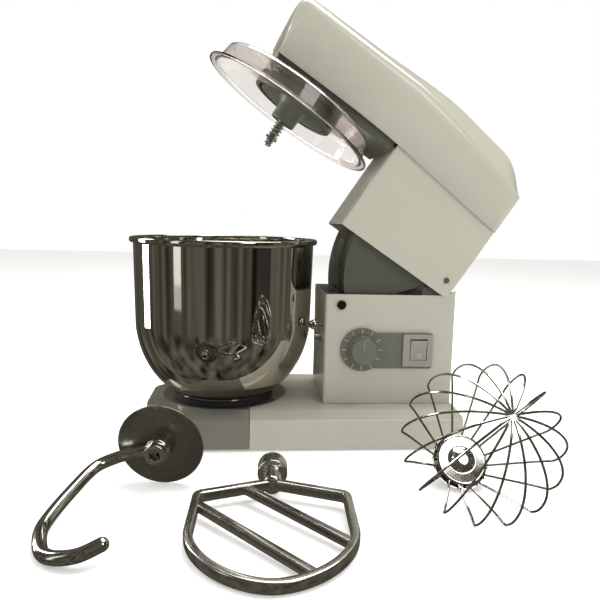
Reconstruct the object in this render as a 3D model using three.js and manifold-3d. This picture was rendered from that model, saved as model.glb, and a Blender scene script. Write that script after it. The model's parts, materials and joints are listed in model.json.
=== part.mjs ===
// Tilt-head planetary stand mixer with a 245 mm bowl, a clear splash guard and three loose tools.
// Millimetres. +X points from the bowl to the column, -Y is the side with the controls, +Z is up.
// The origin is on the bowl's axis, at the underside of the steel base plate.
// The head is drawn closed, then turned up about its hinge pin to the raised position.

import * as THREE from 'three';
import { mergeVertices } from 'three/addons/utils/BufferGeometryUtils.js';
import Module from 'manifold-3d';

const wasm = await Module();
wasm.setup();

// ---------------------------------------------------------------- driving dimensions
const GAP = 0.3;                 // clearance left between pieces that touch
const SHEET = 1.2;               // painted steel sheet
const RUNNING_GAP = 0.5;         // clearance round pieces that turn or slide
const FOLD = 4;                  // outside radius of the folded sheet corners

// feet and base
const FOOT_DROP = 3;             // the feet reach this far below the base plate
const FOOT_RADIUS = 11;
const FOOT_LIP = 2;                // the foot's collar above the plate is this much wider
const FOOT_COLLAR = 1.5;
const FOOT_INSET = 30;
const BASE_FRONT = -100;         // foremost point of the base
const BASE_REAR = 302;
const BASE_HALF_WIDTH = 113.5;
const BASE_HEIGHT = 41;
const BASE_WALL = 2.5;
const BASE_DRAFT = 2.6;          // the sides lean in this far up to the shoulder
const BASE_SHOULDER = 26;        // how far the flat top stands in from the sides
const SHOULDER_DROP = 6;         // the shoulder's lower edge below the flat top
const NOSE_CHAMFER = 70;
const NOSE_CORNER = 24;
const REAR_CORNER = 12;
const NOSE_SPLIT = 35;           // the grey nose ends here on the sides
const PLATE_THICKNESS = 2;

// bowl and its seat
const BOWL_RIM_RADIUS = 122.5;
const BOWL_RIM_TOP = 249;
const BOWL_RIM_ROLL = 7;
const BOWL_WALL = 1.2;
const BOWL_RADIUS = 117.5;       // outside, just under the rim
const BOWL_WAIST_RADIUS = 115.5; // outside, where the round bottom begins
const BOWL_WAIST = 140;
const BOWL_BELLY = 100;          // depth of the round bottom if it went on to its pole
const BOWL_POLE_RADIUS = 45;
const BOWL_FULLNESS = 1.8;       // 2 would make the belly an ellipse
const BOWL_FOOT_RADIUS = 63.6;
const SEAT_TOP = 43.5;
const SEAT_RADIUS = 66;
const SEAT_BORE = 34;
const RECESS_RADIUS = 84;
const RECESS_FLOOR_RADIUS = 70;
const RECESS_FLOOR = 36;

// column
const COLUMN_FRONT = 129;
const COLUMN_REAR = 296;
const COLUMN_HALF_WIDTH = 63;
const COLUMN_TOP = 183;
const CURL_LENGTH = 22;          // the side walls sweep up over this length at the rear
const CURL_RISE = 7;
const CAP_LENGTH = 45;
const CAP_THICKNESS = 1.5;
const BRACKET_FRONT = 252;
const BRACKET_BOTTOM = 134;
const BRACKET_THICKNESS = 1.5;
const BRACKET_HEAD_RADIUS = 12;

// head, all heights given with the head closed
const HINGE_X = 282;
const HINGE_Z = 202.7;
const HINGE_PIN_RADIUS = 3.5;
const TILT = 33.6;               // raised position, degrees
const LEG_FRONT = 131;
const LEG_REAR = 297;
const LEG_HALF_WIDTH = 66.5;
const LEG_BOTTOM = 184;
const LEG_TOP = 306;
const LEG_REAR_OPENING = 10;     // the rear wall stops this far above the leg's lower edge
const SHELL_FRONT = -63;
const SHELL_REAR = 299.5;
const SHELL_HALF_WIDTH = 70.5;
const SHELL_BOTTOM = 306.5;
const SHELL_REAR_BOTTOM = 288.5;
const SHELL_EDGE = 376.5;        // fold between the side and the crown, at the front
const SHELL_REAR_EDGE = 342;
const SHELL_CROWN = 395;
const SHELL_FRONT_CROWN = 386.5;
const SHELL_RIDGE = 40;          // half the width of the flat crown
const SHELL_WALL = 1.5;
const PAN_BOTTOM = 292;
const PAN_TOP = 306;
const PAN_HALF_WIDTH = 64;
const PAN_FRONT = -48;
const PAN_REAR = 128;
const PAN_WALL = 2;
const PAN_CORNER = 14;
const CHASSIS_BOTTOM = 296;
const CHASSIS_THICKNESS = 3;

// sector plate and drum under the leg, angles in degrees below level with the head closed
const SECTOR_RADIUS = 145;
const SECTOR_SLOT_RADIUS = 136.8;
const SECTOR_Y = -19;
const SECTOR_THICKNESS = 3;
const DRUM_RADIUS = 130;
const DRUM_HALF_WIDTH = 57;
const DRUM_WALL = 2;
const DRUM_HUB = 14;
const DRUM_FIRST = 8.5;
const DRUM_LAST = 50;
const LIMIT_PIN_RADIUS = 2.6;
const LIMIT_ANGLE = 14;

// planetary drive
const GEAR_MODULE = 3;
const TOOTH_PLAY = 0.6;
const RING_TEETH = 30;
const PLANET_TEETH = 10;
const MAIN_TEETH = 28;
const LAY_TEETH = 8;
const GEAR_WIDTH = 10;
const GEAR_BOTTOM = 303;
const HOUSING_RADIUS = 58;
const HOUSING_BOTTOM = 272;
const RING_OUTER = 52;
const RING_BOTTOM = 280.5;
const RING_TOP = 289;
const CARRIER_BOTTOM = 273;
const CARRIER_RADIUS = 49;
const CARRIER_THICKNESS = 6;
const BOSS_RADIUS = 17;
const BOSS_BOTTOM = 246;
const MAIN_SHAFT_RADIUS = 6;
const LAY_SHAFT_RADIUS = 5;
const TOOL_SHAFT_RADIUS = 4.8;
const TOOL_SHAFT_TIP = 212;
const DRIVE_PIN_RADIUS = 1.8;
const DRIVE_PIN_LENGTH = 15;
const DRIVE_PIN_Z = 223;
const BELT_BOTTOM = 324;
const BELT_WIDTH = 6;
const BELT_THICKNESS = 2;
const MOTOR_PULLEY_RADIUS = 12;
const LAY_PULLEY_RADIUS = 42;
const MOTOR_X = 222;
const MOTOR_RADIUS = 46;
const MOTOR_HEIGHT = 86;
const MOTOR_SHAFT_RADIUS = 4;

// splash guard
const GUARD_RADIUS = 121.4;
const GUARD_WALL_RADIUS = 112;
const GUARD_TOP = 291.2;
const GUARD_FLANGE = 266;
const GUARD_LIP = 262.4;
const GUARD_SHEET = 2;
const GUARD_BOLT_X = 38;
const GUARD_BOLT_Y = 56;
const GUARD_BOLT_RADIUS = 2;

// controls
const PANEL_THICKNESS = 3;
const DIAL_X = 177;
const DIAL_Z = 112.5;
const DIAL_RADIUS = 27.8;
const PANEL_END = 268.7;
const PANEL_Z = 111.4;
const PANEL_HALF_HEIGHT = 23;
const KNOB_RADIUS = 17;
const KNOB_LENGTH = 15;
const KNOB_FLUTES = 20;
const POT_RADIUS = 7;
const POT_SHAFT_RADIUS = 3;
const SWITCH_X = 249.9;
const SWITCH_Z = 113.2;
const SWITCH_HALF_LENGTH = 13.4;
const SWITCH_HALF_HEIGHT = 15.9;
const SWITCH_DEPTH = 26;
const SWITCH_THROW = 12;         // degrees between the two positions
const LOCK_Y = -45;
const LOCK_Z = 141;
const LOCK_RADIUS = 3;
const LOCK_STEM_RADIUS = 1.8;
const LOCK_BALL_RADIUS = 7;
const LOCK_TRAVEL = 4;           // drawn released; the plunger goes in this far to lock
const LOCK_REACH = 36.5;         // released plunger tip, measured in from the column's front
const LOCK_BUSH_LENGTH = 30;
const GLAND_Z = 66;
const GLAND_RADIUS = 7;
const FRONT_SCREW_Z = 118.5;
const VENT_SLOTS = 7;

// loose tools
const HOOK_DISC_RADIUS = 44.7;
const HOOK_DISC_THICKNESS = 1.5;
const HOOK_ROD_RADIUS = 6.2;
const HOOK_LENGTH = 160;
const HOOK_REACH = 72;
const COLLAR_RADIUS = 13;
const BEATER_HALF_WIDTH = 76;
const BEATER_LENGTH = 168;
const BEATER_SHOULDER = 27;      // the sides begin this far down
const BEATER_STRAIGHT = 92;      // and end this far down
const BEATER_FULLNESS = 1.12;    // 1 would make the bottom an ellipse
const BEATER_STEPS = 22;
const BEATER_BAR = 8;
const BEATER_THICKNESS = 11;
const BEATER_COLLAR_RADIUS = 15.5;
const SOCKET_BORE = TOOL_SHAFT_RADIUS + RUNNING_GAP;
const WHISK_HUB_RADIUS = 30;
const WHISK_RADIUS = 78.7;
const WHISK_LENGTH = 149.6;
const WHISK_SHOULDER = 58.5;
const WHISK_LOOPS = 8;
const WIRE_RADIUS = 1.1;
const WHISK_STEM_RADIUS = 8;
const WHISK_STEM_LENGTH = 34;

// where the loose tools lie on the worktop: place, and the turns of their axes in degrees
const HOOK_PLACE = { x: -56.4, y: -203.1, z: 41.1, azimuth: -8.5, elevation: -10.4, twist: 191 };
const BEATER_PLACE = { x: 58.3, y: -231, z: 11.7, lean: 2.8, azimuth: -2.3 };
const WHISK_PLACE = { x: 259.6, y: -211.3, z: 24.2, azimuth: -1.1, elevation: 36.7, twist: 11.25 };

// places worked out from the sizes above
const LOCK_ANGLE = THREE.MathUtils.radToDeg(Math.asin((HINGE_Z - LOCK_Z) / DRUM_RADIUS));
const PLANET_Y = (-GEAR_MODULE * (RING_TEETH - PLANET_TEETH)) / 2;
const LAY_X = (GEAR_MODULE * (MAIN_TEETH + LAY_TEETH)) / 2;
const PIVOT = [HINGE_X, HINGE_Z];
const SIDES = [['left', -1], ['right', 1]];
const LIMIT_PIN = {
  x: HINGE_X - SECTOR_SLOT_RADIUS * Math.cos(THREE.MathUtils.degToRad(LIMIT_ANGLE)),
  y: HINGE_Z - SECTOR_SLOT_RADIUS * Math.sin(THREE.MathUtils.degToRad(LIMIT_ANGLE)),
};

// ---------------------------------------------------------------- small helpers
const rad = THREE.MathUtils.degToRad;
const point = (x, y) => new THREE.Vector2(x, y);
const mixer = new THREE.Group();
const headTurn = new THREE.Group();
const head = new THREE.Group();
mixer.add(headTurn);
headTurn.add(head);
headTurn.position.set(HINGE_X, 0, HINGE_Z);
headTurn.rotation.y = rad(TILT);
head.position.set(-HINGE_X, 0, -HINGE_Z);
const finishes = {
  white: { color: 0xd9d6cc, roughness: 0.28, metalness: 0.1 },
  grey: { color: 0x8f8c84, roughness: 0.5, metalness: 0.0 },
  darkGrey: { color: 0x5b5b54, roughness: 0.55, metalness: 0.0 },
  black: { color: 0x1c1c1c, roughness: 0.5, metalness: 0.0 },
  steel: { color: 0xb9b8b2, roughness: 0.22, metalness: 1.0 },
  zinc: { color: 0xa8a8a2, roughness: 0.4, metalness: 1.0 },
  aluminium: { color: 0xc0bfba, roughness: 0.35, metalness: 1.0 },
  rubber: { color: 0x242424, roughness: 0.9, metalness: 0.0 },
  brass: { color: 0xb38f4d, roughness: 0.35, metalness: 1.0 },
  clear: { color: 0xded6d0, roughness: 0.08, metalness: 0.0, transparent: true, opacity: 0.35 },
};
const materials = Object.fromEntries(
  Object.entries(finishes).map(([name, values]) => [name, new THREE.MeshStandardMaterial(values)]),
);

// A closed geometry as a manifold solid, its faces turned outward.
function solid(geometry) {
  const bare = geometry.clone();
  bare.deleteAttribute('normal');
  bare.deleteAttribute('uv');
  const welded = mergeVertices(bare, 1e-4);
  const vertProperties = new Float32Array(welded.attributes.position.array);
  const triVerts = new Uint32Array(welded.index.array);
  const body = new wasm.Manifold(new wasm.Mesh({ numProp: 3, vertProperties, triVerts }));
  if (body.volume() > 0) return body;
  for (let i = 0; i < triVerts.length; i += 3) {
    [triVerts[i], triVerts[i + 1]] = [triVerts[i + 1], triVerts[i]];
  }
  return new wasm.Manifold(new wasm.Mesh({ numProp: 3, vertProperties, triVerts }));
}

// A manifold solid back to a geometry.
function geometryOf(body) {
  const mesh = body.getMesh();
  const geometry = new THREE.BufferGeometry();
  const places = new Float32Array(mesh.numVert * 3);
  for (let i = 0; i < mesh.numVert; i += 1) {
    places.set(mesh.vertProperties.subarray(mesh.numProp * i, mesh.numProp * i + 3), 3 * i);
  }
  geometry.setAttribute('position', new THREE.BufferAttribute(places, 3));
  geometry.setIndex(new THREE.BufferAttribute(new Uint32Array(mesh.triVerts), 1));
  geometry.computeVertexNormals();
  return geometry;
}

const join = (first, ...others) => others.reduce((sum, piece) => sum.add(piece), first);
const cut = (first, ...others) => others.reduce((left, piece) => left.subtract(piece), first);
const common = (first, ...others) => others.reduce((left, piece) => left.intersect(piece), first);

function add(group, name, body, finish) {
  const mesh = new THREE.Mesh(geometryOf(body), materials[finish]);
  mesh.name = name;
  group.add(mesh);
}

// A box between two corners.
function block(low, high) {
  const size = high.map((value, i) => value - low[i]);
  const geometry = new THREE.BoxGeometry(...size);
  geometry.translate(...low.map((value, i) => value + size[i] / 2));
  return solid(geometry);
}

// A round bar along 'x', 'y' or 'z', from one coordinate to another, with its axis through (a, b).
function rod(axis, radius, from, to, a = 0, b = 0, sides = 16) {
  const geometry = new THREE.CylinderGeometry(radius, radius, to - from, sides);
  const middle = (from + to) / 2;
  if (axis === 'x') geometry.rotateZ(-Math.PI / 2).translate(middle, a, b);
  if (axis === 'y') geometry.translate(a, middle, b);
  if (axis === 'z') geometry.rotateX(Math.PI / 2).translate(a, b, middle);
  return solid(geometry);
}

// A ring between two radii, along 'x', 'y' or 'z'.
function ring(axis, outer, inner, from, to, a = 0, b = 0, sides = 16) {
  return cut(rod(axis, outer, from, to, a, b, sides), rod(axis, inner, from - 1, to + 1, a, b, sides));
}

// A solid of revolution about Z from [radius, z] pairs; the profile closes on itself or on the axis.
function turned(profile, sides = 32) {
  const points = profile.map(([radius, z]) => point(radius, z));
  const onAxis = points[0].x < 1e-6 && points[points.length - 1].x < 1e-6;
  if (!onAxis) points.push(points[0].clone());
  return solid(new THREE.LatheGeometry(points, sides).rotateX(Math.PI / 2));
}

function extruded(outline, depth, holes = []) {
  const anticlockwise = (loop) => (THREE.ShapeUtils.isClockWise(loop) ? [...loop].reverse() : loop);
  const shape = new THREE.Shape(anticlockwise(outline));
  shape.holes = holes.map((hole) => new THREE.Path(anticlockwise(hole)));
  return new THREE.ExtrudeGeometry(shape, { depth, bevelEnabled: false });
}

// An outline in the XY plane carried up from one height to another.
function plate(outline, from, to, holes) {
  return solid(extruded(outline, to - from, holes).translate(0, 0, from));
}

// An outline in the XZ plane carried along Y from one place to another.
function sidePlate(outline, from, to, holes) {
  return solid(extruded(outline, to - from, holes).rotateX(Math.PI / 2).translate(0, to, 0));
}

// An outline in the YZ plane carried along X from one place to another.
function endPlate(outline, from, to, holes) {
  const geometry = extruded(outline, to - from, holes);
  return solid(geometry.rotateX(Math.PI / 2).rotateZ(Math.PI / 2).translate(from, 0, 0));
}

// Points of a polygon [x, y, corner radius] with its corners rounded.
function rounded(corners, steps = 4) {
  const places = corners.map(([x, y]) => point(x, y));
  return places.flatMap((here, i) => {
    const radius = corners[i][2];
    if (!radius) return [here];
    const back = places[(i + places.length - 1) % places.length].clone().sub(here).normalize();
    const on = places[(i + 1) % places.length].clone().sub(here).normalize();
    const reach = radius / Math.tan(Math.acos(back.dot(on)) / 2);
    const start = here.clone().addScaledVector(back, reach);
    const end = here.clone().addScaledVector(on, reach);
    return new THREE.QuadraticBezierCurve(start, here, end).getPoints(steps);
  });
}

function rectangle(x0, y0, x1, y1, radius = 0) {
  return rounded([[x0, y0, radius], [x1, y0, radius], [x1, y1, radius], [x0, y1, radius]]);
}

function arc(x, y, radius, from, to, steps) {
  const points = [];
  for (let i = 0; i <= steps; i += 1) {
    const angle = rad(from + ((to - from) * i) / steps);
    points.push(point(x + radius * Math.cos(angle), y + radius * Math.sin(angle)));
  }
  return points;
}

const circle = (x, y, radius, sides = 24) => arc(x, y, radius, 0, 360 - 360 / sides, sides - 1);

// Part of a ring about the hinge, between two radii and two angles below level, seen from the side.
function hingeArc(inner, outer, first, last, steps = 12) {
  return [
    ...arc(...PIVOT, outer, 180 + first, 180 + last, steps),
    ...arc(...PIVOT, inner, 180 + last, 180 + first, steps),
  ];
}

// A closed skin over rings of points that all have the same number of points.
function lofted(rings) {
  const count = rings[0].length;
  const places = rings.flat().flatMap((p) => [p.x, p.y, p.z]);
  const faces = [];
  for (let r = 0; r + 1 < rings.length; r += 1) {
    for (let i = 0; i < count; i += 1) {
      const [a, b] = [r * count + i, r * count + ((i + 1) % count)];
      faces.push(a, b, b + count, a, b + count, a + count);
    }
  }
  for (const [r, turn] of [[0, true], [rings.length - 1, false]]) {
    for (const corners of THREE.ShapeUtils.triangulateShape(flattened(rings[r]), [])) {
      const face = corners.map((i) => i + r * count);
      faces.push(...(turn ? face.reverse() : face));
    }
  }
  const geometry = new THREE.BufferGeometry();
  geometry.setAttribute('position', new THREE.Float32BufferAttribute(places, 3));
  geometry.setIndex(faces);
  return solid(geometry);
}

// A flat ring of 3-D points as seen along X or along Z.
function flattened(points) {
  const acrossX = points.every((p) => Math.abs(p.x - points[0].x) < 1e-6);
  return points.map((p) => (acrossX ? point(p.y, p.z) : point(p.x, p.y)));
}

const atHeight = (outline, z) => outline.map((p) => new THREE.Vector3(p.x, p.y, z));

// A round bar along a curve.
function bar(curve, radius, steps, sides = 8) {
  const section = new THREE.Shape(circle(0, 0, radius, sides));
  return solid(new THREE.ExtrudeGeometry(section, { steps, extrudePath: curve, bevelEnabled: false }));
}

// A coil spring about 'x' or 'z', from one coordinate to another.
function coil(axis, radius, wire, turns, from, to, a, b) {
  const points = [];
  const steps = turns * 8;
  for (let i = 0; i <= steps; i += 1) {
    const angle = (i * Math.PI) / 4;
    const along = from + ((to - from) * i) / steps;
    const [u, w] = [radius * Math.cos(angle), radius * Math.sin(angle)];
    if (axis === 'x') points.push(new THREE.Vector3(along, a + u, b + w));
    if (axis === 'z') points.push(new THREE.Vector3(a + u, b + w, along));
  }
  return bar(new THREE.CatmullRomCurve3(points), wire, steps, 5);
}

// Outline of a gear with straight-flanked teeth, one tooth centred on the given angle.
function gearOutline(teeth, phase, inward = false) {
  const pitch = (GEAR_MODULE * teeth) / 2;
  const side = inward ? -1 : 1;
  const [tip, root] = [pitch + side * 0.8 * GEAR_MODULE, pitch - side * 1.15 * GEAR_MODULE];
  const halfTooth = Math.PI / teeth / 2 - TOOTH_PLAY / pitch / 2;
  const half = (radius) => halfTooth - (side * (radius - pitch) * Math.tan(rad(20))) / pitch;
  const points = [];
  for (let i = 0; i < teeth; i += 1) {
    const middle = rad(phase) + (2 * Math.PI * i) / teeth;
    for (const [radius, way] of [[root, -1], [tip, -1], [tip, 1], [root, 1]]) {
      const angle = middle + way * half(radius);
      points.push(point(radius * Math.cos(angle), radius * Math.sin(angle)));
    }
  }
  return points;
}

const shifted = (outline, x, y) => outline.map((p) => point(p.x + x, p.y + y));

// ---------------------------------------------------------------- base
// Outline of the base, moved in from its sides and nose, and less so from its rear.
function baseOutline(inset, rearInset) {
  const [front, rear] = [BASE_FRONT + inset, BASE_REAR - rearInset];
  const half = BASE_HALF_WIDTH - inset;
  const slope = NOSE_CHAMFER - inset * (2 - Math.SQRT2);
  const corner = NOSE_CORNER;
  return rounded([
    [rear, -half, REAR_CORNER], [rear, half, REAR_CORNER],
    [front + slope, half, corner], [front, half - slope, corner],
    [front, slope - half, corner], [front + slope, -half, corner],
  ]);
}

function baseBody(wall) {
  const shoulder = BASE_HEIGHT - SHOULDER_DROP;
  return lofted([
    atHeight(baseOutline(wall, wall), wall > 0 ? -1 : 0),
    atHeight(baseOutline(BASE_DRAFT + wall, wall + 1), shoulder - wall),
    atHeight(baseOutline(BASE_SHOULDER + wall / 2, wall + 4), BASE_HEIGHT - wall),
  ]);
}

function makeBase() {
  const above = BASE_HEIGHT + 20;
  const dish = turned([
    [0, RECESS_FLOOR], [RECESS_FLOOR_RADIUS, RECESS_FLOOR], [RECESS_RADIUS, BASE_HEIGHT],
    [RECESS_RADIUS, above], [0, above],
  ], 40);
  const dishUnderside = turned([
    [0, RECESS_FLOOR - BASE_WALL], [RECESS_FLOOR_RADIUS + 1, RECESS_FLOOR - BASE_WALL],
    [RECESS_RADIUS + BASE_WALL, BASE_HEIGHT - BASE_WALL], [RECESS_RADIUS + BASE_WALL, above], [0, above],
  ], 40);
  const skin = cut(baseBody(0), cut(baseBody(BASE_WALL), dishUnderside), dish);
  const far = BASE_HALF_WIDTH + 10;
  const noseBlock = (play) => join(
    block([BASE_FRONT - 10, -far, -5], [NOSE_SPLIT + play, far, above]),
    rod('z', RECESS_RADIUS + play, -5, above, 0, 0, 40),
  );
  add(mixer, 'nose_cover', common(skin, noseBlock(0)), 'grey');
  add(mixer, 'base_shell', cut(skin, noseBlock(GAP)), 'white');
  add(mixer, 'bowl_seat', turned([
    [SEAT_BORE, RECESS_FLOOR + GAP], [SEAT_RADIUS, RECESS_FLOOR + GAP],
    [SEAT_RADIUS, SEAT_TOP - 1], [SEAT_RADIUS - 1, SEAT_TOP], [SEAT_BORE, SEAT_TOP],
  ], 64), 'rubber');
  const frontFoot = [BASE_FRONT + 1.4 * FOOT_INSET, BASE_HALF_WIDTH - NOSE_CHAMFER];
  const rearFoot = [BASE_REAR - FOOT_INSET, BASE_HALF_WIDTH - FOOT_INSET];
  const footHoles = [];
  for (const [end, [x, y]] of [['front', frontFoot], ['rear', rearFoot]]) {
    for (const [side, way] of SIDES) {
      const collar = PLATE_THICKNESS + GAP;
      const foot = join(
        rod('z', FOOT_RADIUS, -FOOT_DROP, collar, x, way * y),
        rod('z', FOOT_RADIUS + FOOT_LIP, collar, collar + FOOT_COLLAR, x, way * y),
      );
      add(mixer, `foot_${end}_${side}`, foot, 'rubber');
      footHoles.push(circle(x, way * y, FOOT_RADIUS + GAP, 16));
    }
  }
  const plateInset = BASE_WALL + 2 * GAP;
  add(mixer, 'base_plate', plate(baseOutline(plateInset, plateInset), 0, PLATE_THICKNESS, footHoles), 'zinc');
}

// ---------------------------------------------------------------- bowl
function bowlCurve(inward) {
  const points = [];
  const power = 2 / BOWL_FULLNESS;
  for (let i = 0; i <= 9; i += 1) {
    const angle = rad((71 * i) / 9);
    points.push([
      BOWL_POLE_RADIUS + (BOWL_WAIST_RADIUS - BOWL_POLE_RADIUS - inward) * Math.cos(angle) ** power,
      BOWL_WAIST - (BOWL_BELLY - inward) * Math.sin(angle) ** power,
    ]);
  }
  return points;
}

function makeBowl() {
  const outside = bowlCurve(0);
  const inside = bowlCurve(BOWL_WALL);
  const bottom = outside[outside.length - 1][1];
  const rimBottom = BOWL_RIM_TOP - BOWL_RIM_ROLL;
  const shell = turned([
    [0, bottom], ...outside.reverse(),
    [BOWL_RADIUS, rimBottom - 1], [BOWL_RIM_RADIUS - 1.5, rimBottom], [BOWL_RIM_RADIUS, rimBottom + 1.5],
    [BOWL_RIM_RADIUS, BOWL_RIM_TOP - 1.5], [BOWL_RIM_RADIUS - 1.5, BOWL_RIM_TOP],
    [BOWL_RADIUS - BOWL_WALL + 1, BOWL_RIM_TOP], [BOWL_RADIUS - BOWL_WALL, BOWL_RIM_TOP - 1],
    ...inside, [0, inside[inside.length - 1][1]],
  ], 40);
  const foot = ring('z', BOWL_FOOT_RADIUS, BOWL_FOOT_RADIUS - BOWL_WALL, SEAT_TOP + GAP, bottom + 0.6, 0, 0, 40);
  add(mixer, 'bowl', join(shell, foot), 'steel');
}

// ---------------------------------------------------------------- column
function makeColumn() {
  const bottom = BASE_HEIGHT + GAP;
  const half = COLUMN_HALF_WIDTH;
  const inner = half - SHEET;
  const [front, rear] = [COLUMN_FRONT, COLUMN_REAR];
  const curlStart = rear - CURL_LENGTH;
  const curl = new THREE.QuadraticBezierCurve(
    point(curlStart, COLUMN_TOP), point(rear - CURL_LENGTH / 3, COLUMN_TOP), point(rear, COLUMN_TOP + CURL_RISE),
  ).getPoints(8);
  const profile = [point(front, bottom), point(rear, bottom), ...curl.reverse(), point(front, COLUMN_TOP)];
  const walls = common(
    plate(rounded([[front, -half, FOLD], [rear + 20, -half], [rear + 20, half], [front, half, FOLD]]),
      bottom, COLUMN_TOP + 20),
    sidePlate(profile, -half - 1, half + 1),
  );
  const room = block([front + SHEET, -inner, bottom + SHEET], [rear + 5, inner, COLUMN_TOP + 25]);
  const floorOpening = block([front + 14, -inner + 12, bottom - 1], [rear + 5, inner - 12, bottom + 5]);
  const outside = -half - 2;
  const casing = cut(
    walls, room, floorOpening,
    rod('x', LOCK_RADIUS + 3 + GAP, front - 2, front + 5, LOCK_Y, LOCK_Z),
    rod('x', 2.5 + GAP, front - 2, front + 5, SECTOR_Y, FRONT_SCREW_Z, 12),
    rod('y', LIMIT_PIN_RADIUS + GAP, outside, -inner + 1, LIMIT_PIN.x, LIMIT_PIN.y, 16),
    rod('y', POT_SHAFT_RADIUS + 1 + GAP, outside, -inner + 1, DIAL_X, DIAL_Z, 16),
    switchBlock(outside, -inner + 1, GAP),
  );
  add(mixer, 'column_casing', casing, 'white');

  const panel = block([rear - SHEET, -inner + GAP, bottom + SHEET + GAP], [rear, inner - GAP, COLUMN_TOP + 3]);
  const vents = [];
  for (let i = 0; i < VENT_SLOTS; i += 1) {
    const z = LOCK_Z - 27 + 9 * i;
    vents.push(block([rear - 5, -inner * 0.6, z], [rear + 5, inner * 0.6, z + 3.5]));
  }
  const glandHole = rod('x', GLAND_RADIUS + GAP, rear - 5, rear + 5, 0, GLAND_Z);
  add(mixer, 'column_rear_panel', cut(panel, glandHole, ...vents), 'white');
  add(mixer, 'cord_gland', join(
    ring('x', GLAND_RADIUS, GLAND_RADIUS - 2.5, rear - 8, rear + 5, 0, GLAND_Z),
    ring('x', GLAND_RADIUS + 2, GLAND_RADIUS - 2.5, rear + GAP, rear + 2.5, 0, GLAND_Z),
  ), 'black');

  const capTop = COLUMN_TOP - GAP;
  const capFront = front + SHEET + GAP;
  const sectorFront = HINGE_X - Math.sqrt(SECTOR_RADIUS ** 2 - (HINGE_Z - capTop) ** 2) - 2;
  const drumFront = HINGE_X - Math.sqrt(DRUM_RADIUS ** 2 - (HINGE_Z - capTop) ** 2) - 2;
  const capEdge = (way) => [capFront, way * (inner - GAP)];
  const cap = cut(
    block([capFront, capEdge(-1)[1], capTop - CAP_THICKNESS], [capFront + CAP_LENGTH, capEdge(1)[1], capTop]),
    block([drumFront, -DRUM_HALF_WIDTH - 1, 0], [rear, DRUM_HALF_WIDTH + 1, capTop + 5]),
    block([sectorFront, SECTOR_Y - SECTOR_THICKNESS, 0], [rear, SECTOR_Y + SECTOR_THICKNESS, capTop + 5]),
  );
  add(mixer, 'column_top_cap', cap, 'grey');

  for (const [side, way] of SIDES) {
    const y = way > 0 ? inner - GAP - BRACKET_THICKNESS : -inner + GAP;
    const cheek = join(
      sidePlate(rectangle(BRACKET_FRONT, BRACKET_BOTTOM, HINGE_X + 2, HINGE_Z - 9, 2), y, y + BRACKET_THICKNESS),
      rod('y', BRACKET_HEAD_RADIUS, y, y + BRACKET_THICKNESS, ...PIVOT, 32),
    );
    const bored = cut(cheek, rod('y', HINGE_PIN_RADIUS + GAP, y - 1, y + 5, ...PIVOT));
    add(mixer, `hinge_bracket_${side}`, bored, 'zinc');
    const legInside = LEG_HALF_WIDTH - SHEET;
    const faces = [inner, legInside - GAP].map((value) => way * value).sort((a, b) => a - b);
    add(mixer, `hinge_washer_${side}`, ring('y', 7, HINGE_PIN_RADIUS + GAP, ...faces, ...PIVOT), 'zinc');
  }
  add(mixer, 'hinge_pin', rod('y', HINGE_PIN_RADIUS, -LEG_HALF_WIDTH - 1.5, LEG_HALF_WIDTH + 1.5, ...PIVOT), 'steel');
  add(mixer, 'limit_pin', join(
    rod('y', LIMIT_PIN_RADIUS, -half - 1, SECTOR_Y + SECTOR_THICKNESS + 2, LIMIT_PIN.x, LIMIT_PIN.y, 16),
    rod('y', 5.8, -half - 3, -half - GAP, LIMIT_PIN.x, LIMIT_PIN.y, 24),
  ), 'black');
}

// ---------------------------------------------------------------- controls
function switchBlock(from, to, play) {
  return block(
    [SWITCH_X - SWITCH_HALF_LENGTH - play, from, SWITCH_Z - SWITCH_HALF_HEIGHT - play],
    [SWITCH_X + SWITCH_HALF_LENGTH + play, to, SWITCH_Z + SWITCH_HALF_HEIGHT + play],
  );
}

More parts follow.
